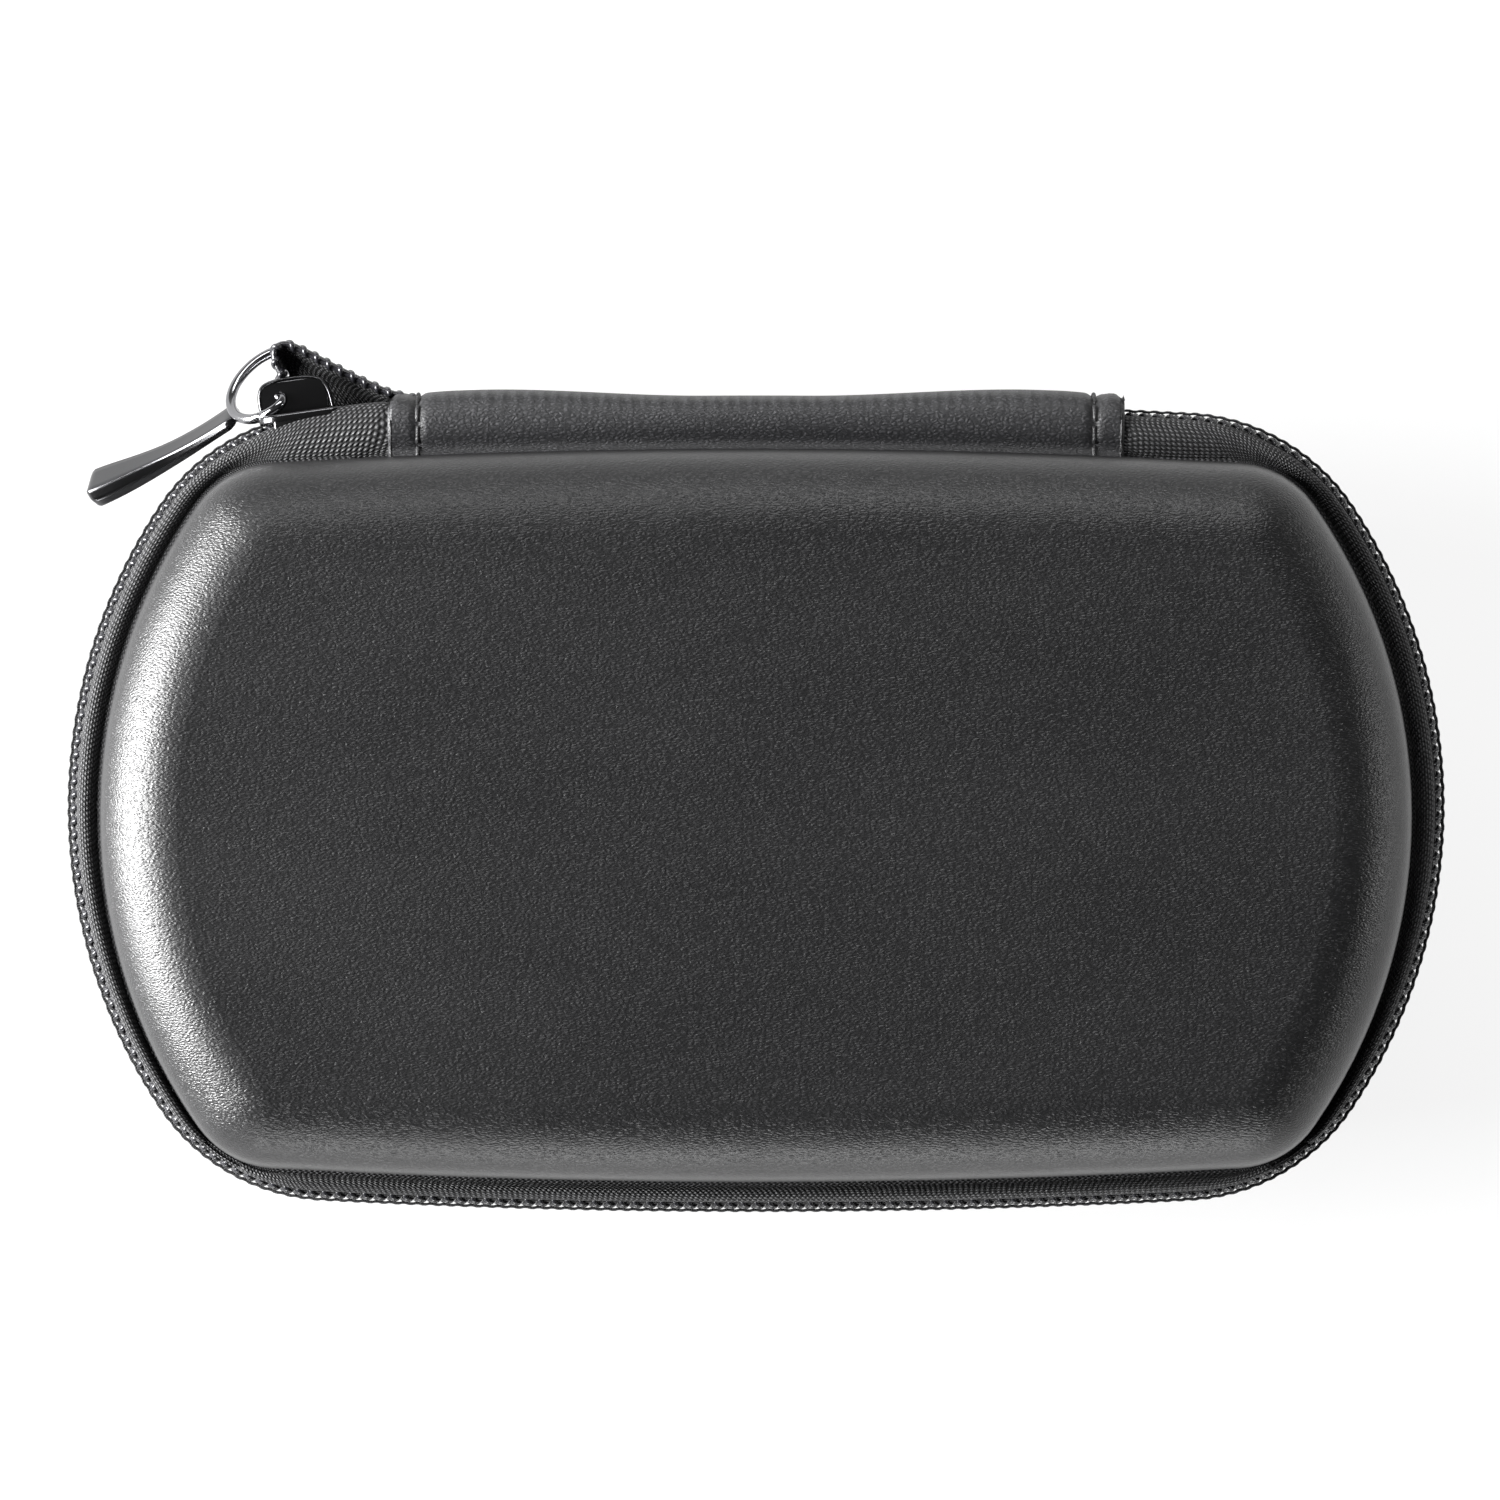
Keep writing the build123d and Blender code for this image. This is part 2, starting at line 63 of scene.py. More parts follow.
# %% Arcs of an outline
def outline(length, width, end_radius, bow_radius, corner_radius, centre_y):
    """Arcs (centre x, centre y, radius, start, end) from the hinge's middle, anticlockwise."""
    end_x = length / 2 - end_radius
    bow_y = width / 2 - bow_radius
    apart = hypot(end_x, bow_y)
    r_end, r_bow = end_radius - corner_radius, bow_radius - corner_radius
    along = (r_end**2 - r_bow**2 + apart**2) / (2 * apart)
    across = sqrt(r_end**2 - along**2)
    to_bow = (-end_x / apart, bow_y / apart)
    x = end_x + along * to_bow[0] - across * to_bow[1]
    y = along * to_bow[1] + across * to_bow[0]
    a = atan2(y, x - end_x)
    b = atan2(x, y - bow_y)
    q = pi / 2
    arcs = [
        (0, bow_y, bow_radius, q, q + b),
        (-x, y, corner_radius, q + b, pi - a),
        (-end_x, 0, end_radius, pi - a, pi + a),
        (-x, -y, corner_radius, pi + a, 3 * q - b),
        (0, -bow_y, bow_radius, 3 * q - b, 3 * q + b),
        (x, -y, corner_radius, 3 * q + b, 4 * q - a),
        (end_x, 0, end_radius, 4 * q - a, 4 * q + a),
        (x, y, corner_radius, a, q - b),
        (0, bow_y, bow_radius, q - b, q),
    ]
    return [(cx, cy + centre_y, r, s, e) for cx, cy, r, s, e in arcs]


ZIP = outline(160.0, 94.0, 63.0, 985.0, 24.0, 1.0)
SHELL = outline(152.4, 85.2, 63.0, 985.0, 11.5, 0.0)
ARC_LENGTHS = [r * abs(e - s) for _, _, r, s, e in ZIP]
ROUND = sum(ARC_LENGTHS)
print("length round the zip, mm", round(ROUND, 1))


# %% A point beside the line
def station(s):
    """Which arc, and how far along it, for a distance s round the zip in millimetres."""
    for i, arc_length in enumerate(ARC_LENGTHS):
        if s <= arc_length or i == len(ARC_LENGTHS) - 1:
            return i, s / arc_length
        s -= arc_length


def beside(arcs, where, out, height):
    """The point that lies out from an outline and height above the zip's middle."""
    i, t = where
    cx, cy, r, start, end = arcs[i]
    angle = start + (end - start) * t
    return Vector((cx + (r + out) * cos(angle), cy + (r + out) * sin(angle), MID + height)) * MM


def between(s, zip_out, shell_out, share, height):
    """A point part of the way from the zip's line to the shell's line."""
    where = station(s)
    a = beside(ZIP, where, zip_out, height)
    b = beside(SHELL, where, shell_out, height)
    return a.lerp(b, share)


# %% [markdown]
# ## Finishes
# Every finish is a few texture nodes that read the piece's own coordinates. Grain, weave and knit
# are far smaller than a face of the mesh, so they go into the bump and the roughness, and the shapes
# that a finger would feel are left to the mesh.


# %% A finish from nodes
def new_finish(name, colour, roughness, metallic=0.0, specular=0.5):
    """A material with its shader; the textures are added to it."""
    mat = bpy.data.materials.new(name)
    mat.use_nodes = True
    shader = mat.node_tree.nodes["Principled BSDF"]
    shader.inputs["Base Color"].default_value = (*colour, 1)
    shader.inputs["Roughness"].default_value = roughness
    shader.inputs["Metallic"].default_value = metallic
    shader.inputs["Specular IOR Level"].default_value = specular
    return mat


def node(mat, kind, **values):
    """A node with its inputs and settings by name; a value that is a socket is linked."""
    made = mat.node_tree.nodes.new(kind)
    for key, value in values.items():
        if hasattr(made, key):
            setattr(made, key, value)
            continue
        numbered = key[0] == "i" and key[1:].isdigit()
        spot = made.inputs[int(key[1:]) if numbered else key]
        if isinstance(value, bpy.types.NodeSocket):
            mat.node_tree.links.new(value, spot)
        else:
            spot.default_value = value
    return made


def maths(mat, operation, a, b=0.0):
    """One sum on two sockets or numbers."""
    return node(mat, "ShaderNodeMath", operation=operation, i0=a, i1=b).outputs[0]


def scaled(mat, uv, size):
    """Object or UV coordinates divided by a size in metres along each axis."""
    coords = node(mat, "ShaderNodeTexCoord").outputs["UV" if uv else "Object"]
    return node(
        mat, "ShaderNodeMapping", Vector=coords, Scale=tuple(1.0 / v for v in size)
    ).outputs[0]


def relief(mat, height, depth, strength=1.0, under=None):
    """Bump of that depth in metres, on the shader; more than one can be stacked."""
    bump = node(mat, "ShaderNodeBump", Height=height, Distance=depth, Strength=strength)
    if under is not None:
        mat.node_tree.links.new(under.outputs[0], bump.inputs["Normal"])
    shader = mat.node_tree.nodes["Principled BSDF"]
    mat.node_tree.links.new(bump.outputs[0], shader.inputs["Normal"])
    return bump


def varied(mat, socket, factor, low, high):
    """Drives one shader input between two values or colours with a factor from 0 to 1."""
    shader = mat.node_tree.nodes["Principled BSDF"]
    if isinstance(low, tuple):
        mix = node(mat, "ShaderNodeMix", data_type="RGBA")
        mix.inputs[6].default_value, mix.inputs[7].default_value = (*low, 1), (*high, 1)
        mat.node_tree.links.new(factor, mix.inputs[0])
        mat.node_tree.links.new(mix.outputs[2], shader.inputs[socket])
        return
    spread = node(mat, "ShaderNodeMapRange", Value=factor)
    spread.inputs["To Min"].default_value, spread.inputs["To Max"].default_value = low, high
    mat.node_tree.links.new(spread.outputs[0], shader.inputs[socket])


# %% [markdown]
# ### Grained skin
# The skin is a thin polyurethane film on a knit, pressed against a grained plate and then drawn over
# the foam, which stretches its grain along the case. Cells of about 0.3 by 0.7 mm with soft valleys
# make that grain, a finer noise breaks the shine, and a slow noise stands for the uneven draw of the
# film. An image would be simpler, but cells from nodes have no seam and keep their size everywhere.


# %% Grained skin finish
GRAIN = (0.00068, 0.00030, 0.00036)  # size of a cell along each axis
DRAW = (0.03, 0.012, 0.02)  # size of the film's slow changes
FINE_DEPTH, PEBBLE_DEPTH = 0.00007, 0.00004


def grained(name, uv=False, matt=0.0, paler=1.0):
    """Grained film; matt is added to its roughness, and paler multiplies its colour. Above 1, that is
    painted light on a copy of the same skin.
    """
    mat = new_finish(name, (0.013, 0.013, 0.014), 0.42, specular=0.5)
    wide = scaled(mat, uv, GRAIN)
    wobble = node(mat, "ShaderNodeTexNoise", Vector=wide, Scale=0.7, Detail=2.0).outputs["Color"]
    bent = node(mat, "ShaderNodeMix", data_type="VECTOR")
    mat.node_tree.links.new(wide, bent.inputs[4])
    shifted = node(mat, "ShaderNodeVectorMath", operation="ADD", i0=wide, i1=wobble).outputs[0]
    mat.node_tree.links.new(shifted, bent.inputs[5])
    bent.inputs[0].default_value = 0.8
    cells = node(
        mat, "ShaderNodeTexVoronoi", feature="DISTANCE_TO_EDGE", Vector=bent.outputs[1], Scale=1.0
    ).outputs["Distance"]
    pebble = node(mat, "ShaderNodeMapRange", interpolation_type="SMOOTHSTEP", Value=cells)
    pebble.inputs["From Max"].default_value = 0.45
    fine = node(mat, "ShaderNodeTexNoise", Vector=wide, Scale=1.5, Detail=0.6).outputs[0]
    slow = node(
        mat, "ShaderNodeTexNoise", Vector=scaled(mat, uv, DRAW), Scale=1.0, Detail=3.0
    ).outputs[0]
    first = relief(mat, fine, FINE_DEPTH, 0.8)
    relief(mat, pebble.outputs[0], PEBBLE_DEPTH, 0.9, first)
    varied(mat, "Roughness", slow, 0.36 + matt, 0.45 + matt)
    valley = tuple(v * paler for v in (0.0016, 0.0016, 0.0019))
    crest = tuple(v * paler for v in (0.0085, 0.0085, 0.0092))
    varied(mat, "Base Color", pebble.outputs[0], valley, crest)
    return mat


skin = grained("grained skin")
# the hinge strip is the same skin with its colour raised 3.2 times: painted light for its lit grey
strip_skin_painted_light = grained("grained skin strip with painted light", uv=True, matt=0.14, paler=3.2)
print("grained skin: cells", [round(v / MM, 2) for v in GRAIN[:2]], "mm")

# %% [markdown]
# ### Woven tapes and the lining
# Zip tape is a herringbone twill: short floats of yarn lie in rows, each row a step further
# than the last, and every sixth row the steps turn back. The floats' crests carry a painted glint,
# a lighter colour where light would catch the yarn. With the tape's own map in metres, whole rows are
# counted across it and the steps are added along it, so the floats keep their size round every
# bend. Binding and elastic are plain ribs, and the lining is a knit of small loops. Cloth scatters
# light in its fibres, so these three have next to no gloss.


# %% Woven and knitted finishes
def woven(
    name, colour, rib, fold, lean=1.0, depth=0.00009, uv=True, roughness=0.85, gloss=0.04
):
    """Ribs of that width, which lean one way and then the other at each fold."""
    mat = new_finish(name, colour, roughness, specular=gloss)
    coords = node(mat, "ShaderNodeTexCoord").outputs["UV" if uv else "Object"]
    parts = node(mat, "ShaderNodeSeparateXYZ", Vector=coords).outputs
    folded = maths(mat, "PINGPONG", parts[1], fold)
    phase = maths(mat, "ADD", parts[0], maths(mat, "MULTIPLY", folded, lean))
    ribs = maths(mat, "SINE", maths(mat, "MULTIPLY", phase, 2 * pi / rib))
    yarns = maths(mat, "SINE", maths(mat, "MULTIPLY", parts[1], 2 * pi / (rib * 0.9)))
    ribs, yarns = maths(mat, "MULTIPLY", ribs, 0.36), maths(mat, "MULTIPLY", yarns, 0.14)
    cloth = maths(mat, "ADD", maths(mat, "ADD", ribs, yarns), 0.5)
    fluff = node(
        mat, "ShaderNodeTexNoise", Vector=scaled(mat, uv, (0.0004,) * 3), Scale=1.0, Detail=3.0
    ).outputs[0]
    first = relief(mat, fluff, 0.00003, 0.6)
    relief(mat, cloth, depth, 0.9, first)
    dark, bright = tuple(v * 0.45 for v in colour), tuple(v * 1.5 for v in colour)
    varied(mat, "Base Color", cloth, dark, bright)
    return mat


def twill_finish(name, dark, bright, long_, wide):
    """Floats of yarn in stepped rows that turn back every sixth row; their crests get a painted glint.
    """
    mat = new_finish(name, dark, 0.34, specular=0.35)
    coords = node(mat, "ShaderNodeTexCoord").outputs["UV"]
    parts = node(mat, "ShaderNodeSeparateXYZ", Vector=coords).outputs
    across = maths(mat, "DIVIDE", parts[1], wide)
    row = maths(mat, "FLOOR", across)
    step = maths(mat, "MULTIPLY", maths(mat, "PINGPONG", row, 6.0), 0.37)
    along = maths(mat, "ADD", maths(mat, "DIVIDE", parts[0], long_), step)
    float_ = maths(mat, "SINE", maths(mat, "MULTIPLY", maths(mat, "FRACT", along), pi))
    ridge = maths(mat, "SINE", maths(mat, "MULTIPLY", maths(mat, "FRACT", across), pi))
    float_, ridge = maths(mat, "POWER", float_, 1.8), maths(mat, "POWER", ridge, 1.3)
    yarn = maths(mat, "MULTIPLY", float_, ridge)
    fluff = node(
        mat, "ShaderNodeTexNoise", Vector=scaled(mat, True, (0.0009,) * 3), Scale=1.0, Detail=3.0
    ).outputs[0]
    # painted glint: the floats' crests are coloured lighter where light would catch the yarn
    painted_glint = maths(mat, "MULTIPLY", maths(mat, "MULTIPLY", yarn, fluff), 1.9)
    relief(mat, yarn, 0.00016, 1.0)
    varied(mat, "Base Color", painted_glint, dark, bright)
    varied(mat, "Roughness", yarn, 0.7, 0.4)
    return mat


# the first colour is the tape's own black; the second is a painted glint on the floats
twill = twill_finish(
    "zip tape twill with painted glints", (0.0012, 0.0012, 0.0014), (0.075, 0.075, 0.078), 0.00060, 0.00031
)
grosgrain = woven("binding rib", (0.014, 0.014, 0.015), 0.0008, 0.05, lean=0.0, uv=False)
knit = woven(
    "lining knit", (0.020, 0.020, 0.022), 0.0007, 0.0004, lean=1.2, uv=False, depth=0.00006
)
ribbed = woven(
    "elastic rib", (0.018, 0.018, 0.019), 0.0009, 0.03, lean=0.0, uv=False, depth=0.0001
)
thread = woven(
    "thread", (0.016, 0.016, 0.017), 0.0003, 0.01, depth=0.00004, roughness=0.5, gloss=0.4
)
print("woven finishes: 5")


# %% [markdown]
# ### Nylon, foam and black nickel
# The coil is nylon monofilament, so it is smooth and only slightly uneven. Slider and tab are cast
# zinc under black nickel: a dark metal, polished on the slider and a duller satin on the tab, whose
# faces were tumbled. The ring is the same black nickel given a lighter colour, a painted reflection of
# the bright floor and sky round its wire. One helper makes all of them, because they differ only in
# colour, in roughness and in how deep their pits are.


# %% Nylon, foam and metal finishes
def smooth_finish(name, colour, roughness, spread, metallic=0.0, size=0.004, pits=0.000004):
    """A smooth surface whose shine changes slowly by spread, over pits of that depth."""
    mat = new_finish(name, colour, roughness, metallic=metallic)
    cloud = node(
        mat, "ShaderNodeTexNoise", Vector=scaled(mat, False, (size,) * 3), Scale=1.0, Detail=4.0
    ).outputs[0]
    grit = node(
        mat, "ShaderNodeTexNoise", Vector=scaled(mat, False, (0.0003,) * 3), Scale=1.0, Detail=2.0
    ).outputs[0]
    varied(mat, "Roughness", cloud, roughness - spread, roughness + spread)
    relief(mat, grit, pits, 0.5)
    return mat


nylon = smooth_finish("coil nylon", (0.012, 0.012, 0.014), 0.24, 0.05, size=0.002)
foam = smooth_finish("moulded foam", (0.02, 0.02, 0.021), 0.85, 0.05, size=0.003, pits=0.00004)
nickel = smooth_finish("black nickel", (0.085, 0.085, 0.088), 0.19, 0.04, metallic=1.0)
# the ring is black nickel like the slider; its lighter colour is a painted reflection of the bright
# floor and sky
ring_nickel_painted_light = smooth_finish(
    "ring nickel with painted reflection", (0.26, 0.26, 0.27), 0.13, 0.05, metallic=1.0
)
satin = smooth_finish(
    "satin black nickel", (0.08, 0.08, 0.083), 0.34, 0.05, metallic=1.0, size=0.002
)
print("finishes so far", len(bpy.data.materials))


# %% [markdown]
# ## Finishes on the solids that stay
# The skins and the moulded foam are shells from a mould, so the CAD solids already have their true
# shape. They stay and only change their material, which keeps looks and physics the same here.


# %% Dress the solids
def dress(name, mat):
    """Gives a CAD solid that material and no other."""
    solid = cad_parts[name]
    solid.data.materials.clear()
    solid.data.materials.append(mat)


for half in ("lid", "back"):
    dress(f"{half}_skin", skin)
    dress(f"{half}_core", foam)
print("dressed: skin and foam of both halves")

# %% [markdown]
# ## Laying strips and tubes along the case
# Tape, skin strip and coil are long flat or round goods that are led round a line. Each starts as a
# flat grid, as it comes off the reel, and every vertex is then moved to its place, with the distances
# on the reel kept as its map. An array and a curve modifier would do the same, but the tape has to
# lean from the zip's line to the shell's, and a placed grid can follow both.


# %% Helpers for strips and tubes
def lay_strip(bm, columns, rows, place, along, across):
    """A grid whose vertices go to place(u, v), with its map in metres."""
    uv = bm.loops.layers.uv.verify()
    made = bmesh.ops.create_grid(bm, x_segments=columns, y_segments=rows, size=1.0)["verts"]
    flat = {v: ((v.co.x + 1) / 2, (v.co.y + 1) / 2) for v in made}
    for face in {f for v in made for f in v.link_faces}:
        for loop in face.loops:
            u, v = flat[loop.vert]
            loop[uv].uv = (u * along, v * across)
    for vert, (u, v) in flat.items():
        vert.co = place(u, v)
    return made


def lay_tube(bm, line, radii, sides=8, up=(0, 0, 1), closed=False):
    """A tube along points in metres; radii(t) gives its half sizes across and along up."""
    count = len(line)
    length = sum((line[i + 1] - line[i]).length for i in range(count - 1))
    up = Vector(up)

    def place(u, v):
        i = min(round(u * (count - 1)), count - 1)
        if closed:
            ahead, behind = line[(i + 1) % (count - 1)], line[(i - 1) % (count - 1)]
        else:
            ahead, behind = line[min(i + 1, count - 1)], line[max(i - 1, 0)]
        way = (ahead - behind).normalized()
        side = way.cross(up).normalized()
        top = side.cross(way)
        a, b = radii(u)
        turn = 2 * pi * v
        return line[i] + side * (a * cos(turn)) + top * (b * sin(turn))

    a, b = radii(0.5)
    made = lay_strip(bm, count - 1, sides, place, length, pi * (a + b))
    bmesh.ops.remove_doubles(bm, verts=made, dist=1e-7)
    made = [v for v in made if v.is_valid]
    if not closed:
        rims = [e for v in made for e in v.link_edges if e.is_boundary]
        bmesh.ops.holes_fill(bm, edges=list(set(rims)), sides=0)
    return made


def through(points, t):
    """A smooth value between listed tuples, evenly spaced, for t from 0 to 1."""
    x = t * (len(points) - 1)
    i = min(int(x), len(points) - 2)
    f = x - i
    p = [Vector(points[max(0, min(len(points) - 1, k))]) for k in (i - 1, i, i + 1, i + 2)]
    return (
        p[1]
        + (p[2] - p[0]) * (0.5 * f)
        + (p[0] - p[1] * 2.5 + p[2] * 2 - p[3] * 0.5) * (f * f)
        + ((p[1] - p[2]) * 1.5 + (p[3] - p[0]) * 0.5) * (f * f * f)
    )


def ease(x, low, high):
    """0 below low, 1 above high, and smooth between."""
    t = min(1.0, max(0.0, (x - low) / (high - low)))
    return t * t * (3 - 2 * t)


def piece(bm, name, mat, body=None, stands_for=(), smooth=True, outwards=True):
    """Closes a bmesh into an object in the row's frame and puts it on its body."""
    if outwards:
        bmesh.ops.recalc_face_normals(bm, faces=bm.faces)
    mesh = bpy.data.meshes.new(name)
    bm.to_mesh(mesh)
    bm.free()
    if smooth:
        mesh.shade_smooth()
    mesh.materials.append(mat)
    made = bpy.data.objects.new(name, mesh)
    bpy.context.collection.objects.link(made)
    if body:
        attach(made, body)
    if stands_for:
        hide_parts(*stands_for)
    print(name, "faces", len(mesh.polygons), "size mm", [round(v / MM, 1) for v in made.dimensions])
    return made


# %% [markdown]
# ## Zip tapes
# Each half's tape is sewn under the shell's rim, comes out from below it, rolls over in a soft round
# and then runs down behind the coil to its woven edge. The profile is a smooth curve through a few
# places, each given as a share of the way from the zip's line to the shell's line.

# %% Tape profile and tapes
FREE_FROM = 25.2  # where the tape ends under the hinge strip, from the hinge's middle
TAPE_ROLL = [  # out from the zip, out from the shell, share, height
    (-1.9, -5.2, 1.0, 5.70),
    (-1.9, -3.4, 1.0, 5.60),
    (-1.9, -1.6, 1.0, 5.0),
    (-1.9, -0.1, 1.0, 3.5),
    (-1.9, 0.6, 1.0, 2.9),
    (-1.7, 0.85, 0.8, 3.4),
    (-1.35, 0.9, 0.45, 4.15),
    (-1.3, 0.9, 0.12, 4.0),
    (-1.5, 0.0, 0.0, 3.4),
    (-1.95, 0.0, 0.0, 2.7),
    (-2.15, 0.0, 0.0, 1.9),
    (-2.15, 0.0, 0.0, 0.55),
]


LOOSE_SIDE = 100  # the slider's side, where the tape bulges most, ends at this distance


def tape(half, up):
    """One half's tape all round; up is 1 for the lid and -1 for the back."""
    bm = bmesh.new()
    run = ROUND - 2 * FREE_FROM

    def place(u, v):
        zip_out, shell_out, share, height = through(TAPE_ROLL, v)
        s = FREE_FROM + u * run
        near = min(s, ROUND - s)  # from the hinge's middle, the shorter way
        tucked = 1 - ease(near, 40.8, 42.6)
        loose = 1 - ease(near, 44, 62)
        body = ease(v, 0.3, 0.62)
        zip_out += (2.1 if s < LOOSE_SIDE else 0.5) * loose * body * (1 - tucked) - 0.35 * tucked
        shell_out += -0.95 * loose * ease(v, 0.25, 0.4) * (1 - tucked) - 0.75 * tucked
        height -= 0.4 * tucked * body
        return between(s, zip_out, shell_out, share, up * height)

    lay_strip(bm, 520, 26, place, run * MM, 0.0135)
    if up < 0:
        bmesh.ops.reverse_faces(bm, faces=bm.faces)
    solids = [f"{half}_zipper_tape"]
    made = piece(bm, f"{half}_woven_tape", twill, stands_for=solids, outwards=False)
    thick = made.modifiers.new("thickness", "SOLIDIFY")
    thick.thickness = 0.45 * MM
    thick.offset = -1.0
    return made


back_tape = tape("back", -1)
lid_tape = tape("lid", 1)

# %% [markdown]
# ## Coils
# The coil is one nylon monofilament wound flat: each turn goes down the front, round the head at the
# zip's middle and up the back. The two halves are half a pitch apart, so the heads sit between each
# other. A helix modifier can't follow the outline, so the helix is written out turn by turn and laid
# as a thin tube of six sides.

# %% Coils
PITCH = 1.574  # from one turn to the next
FILAMENT = 0.33  # radius
STEPS = 12  # points to a turn


def coil_line(s_from, s_to, up, shift, spot):
    """Points of the flattened helix; spot(s, out, height) puts them in place."""
    turns = int((s_to - s_from) / PITCH)
    line = []
    for k in range(turns * STEPS + 1):
        turn = 2 * pi * k / STEPS
        swell = 1.0 + 0.1 * cos(2 * turn)
        height = 1.33 + 1.33 * cos(turn)
        out = -0.9 + 0.57 * swell * sin(turn)
        line.append(spot(s_from + shift + PITCH * k / STEPS, out, up * height))
    return line


def on_zip(s, out, height):
    """A point beside the zip's line, s millimetres round it."""
    return beside(ZIP, station(s), out, height)


half_body = {"lid": "lid", "back": "back_half"}


def coil(half, up, shift):
    """One half's coil, all round from one end of the strip to the other."""
    bm = bmesh.new()
    line = coil_line(FREE_FROM, ROUND - FREE_FROM - PITCH, up, shift, on_zip)
    lay_tube(bm, line, lambda t: (FILAMENT * MM, FILAMENT * MM), sides=6)
    return piece(bm, f"{half}_coil_turns", nylon, half_body[half], [f"{half}_zipper_coil"])


coil("lid", 1, 0.0)
coil("back", -1, PITCH / 2)
for half, up in (("lid", 1), ("back", -1)):  # two rows of chain stitch hold the coil to its tape
    bm = bmesh.new()
    for height in (1.15, 2.0):
        line = [
            on_zip(FREE_FROM + 2 + k * PITCH / 4, 0.02 + 0.1 * (k % 4 < 2), up * height)
            for k in range(int((ROUND - 2 * FREE_FROM - 4) / PITCH * 4))
        ]
        lay_tube(bm, line, lambda t: (0.11 * MM, 0.16 * MM), sides=5)
    piece(bm, f"{half}_coil_stitches", thread, half_body[half])
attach(back_tape, "back_half")
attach(lid_tape, "lid")

# %% [markdown]
# ## Hinge strip
# A strip of the grained skin is wrapped round the middle of the hinge side. It is tucked under both
# rims, its ends are rolled over the zip's ends, where it stands out, and small puckers run across it
# where it was pulled tight. The strip is a grid with those swells in its placing; its thickness comes
# from a solidify operator and its rolled edge from a bevel.
#
# A known fault: a grid that is led to its place keeps the normals of the flat grid, and solidify
# reads those, so it shifts the strip, the backing and the loose tape straight up or down. They are
# thinner than written where they stand upright. Only calling bm.normal_update() first isn't enough,
# because solidify then throws spikes at the strip's tight folds.

# %% Strip across the hinge
STRIP_HALF = 42.8  # half its length
STITCH_X = 39.3  # where its rows of stitches are
STRIP_ROLL = [  # out from the zip, out from the shell, share, height, from the tuck to the middle
    (0.0, -2.2, 1.0, 5.75),
    (0.0, -1.1, 1.0, 5.6),
    (0.0, -0.1, 1.0, 4.5),
    (0.0, 0.9, 1.0, 4.1),
    (0.2, 1.3, 0.75, 4.9),
    (0.3, 1.4, 0.45, 5.1),
    (0.2, 1.2, 0.2, 4.3),
    (0.0, 1.0, 0.05, 2.4),
    (0.0, 0.0, 0.0, 0.0),
]


def near_stitches(s):
    """1 at a row of stitches, falling to 0 within about a millimetre."""
    return 2.718 ** (-(((abs(s) - STITCH_X) / 0.6) ** 2))


def strip_spot(s, v, lift=0.0):
    """A point of the strip at distance s from the hinge's middle and share v across it."""
    side = 1 if v >= 0.5 else -1
    w = 1 - abs(2 * v - 1)
    zip_out, shell_out, share, height = through(STRIP_ROLL, w)
    swell = 0.95 + 1.2 * ease(abs(s), 6, 33) - 0.2 * ease(abs(s), 35, 41)
    seam = 0.45 * near_stitches(s)
    lip = 0.12 * ease(abs(s), 40.4, 41.2) - 0.5 * ease(abs(s), 41.7, 42.6)
    puckered = ease(w, 0.45, 0.68) * (1 - ease(w, 0.85, 1.0))
    pucker = 0.1 * sin(s * 4.1 + 1.3 * sin(s * 0.31)) * puckered
    pucker *= 1 - 0.5 * ease(abs(s), 30, 38)
    body = ease(w, 0.22, 0.75)
    out = zip_out + (swell - seam + lip) * body + pucker + lift
    where = station(s % ROUND)
    a = beside(ZIP, where, out, side * height)
    _, cy, r, _, _ = SHELL[0]  # straight across, so that the strip's ends stay square
    reach = r + shell_out + lift * ease(w, 0.0, 0.3)
    b = Vector((a.x, (cy + sqrt(reach**2 - (a.x / MM) ** 2)) * MM, (MID + side * height) * MM))
    point = a.lerp(b, share)
    groove = 0.3 * near_stitches(s) * ease(w, 0.3, 0.5)
    point.z -= side * groove * MM * (1 - ease(w, 0.75, 1.0))
    return point


bm = bmesh.new()
lay_strip(
    bm, 300, 56, lambda u, v: strip_spot((2 * u - 1) * STRIP_HALF, v), 2 * STRIP_HALF * MM, 0.0235
)
bmesh.ops.solidify(bm, geom=bm.faces, thickness=1.0 * MM)
rolled = [  # the sharp edges along both ends
    e
    for e in bm.edges
    if len(e.link_faces) == 2
    and e.calc_face_angle(0) > 1.2
    and abs(e.verts[0].co.x) > 38 * MM
    and abs(e.verts[0].co.x - e.verts[1].co.x) < 0.3 * MM
]
bmesh.ops.bevel(
    bm, geom=rolled, offset=0.42 * MM, affect="EDGES", segments=4, profile=0.5, material=-1
)
# its finish is the skin with painted light: a lighter colour that stands for the strip's lit grey
strip = piece(bm, "hinge_strip", strip_skin_painted_light, stands_for=["hinge_cover"])
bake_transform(strip)

# %% [markdown]
# ### Stitches across the strip
# The stitches are short lengths of thick thread that dip into the skin at both ends, so each is a
# small bowed tube laid on the same surface as the strip. A dashed bump would give the dark line, but
# not the thread that stands proud at the strip's edge.

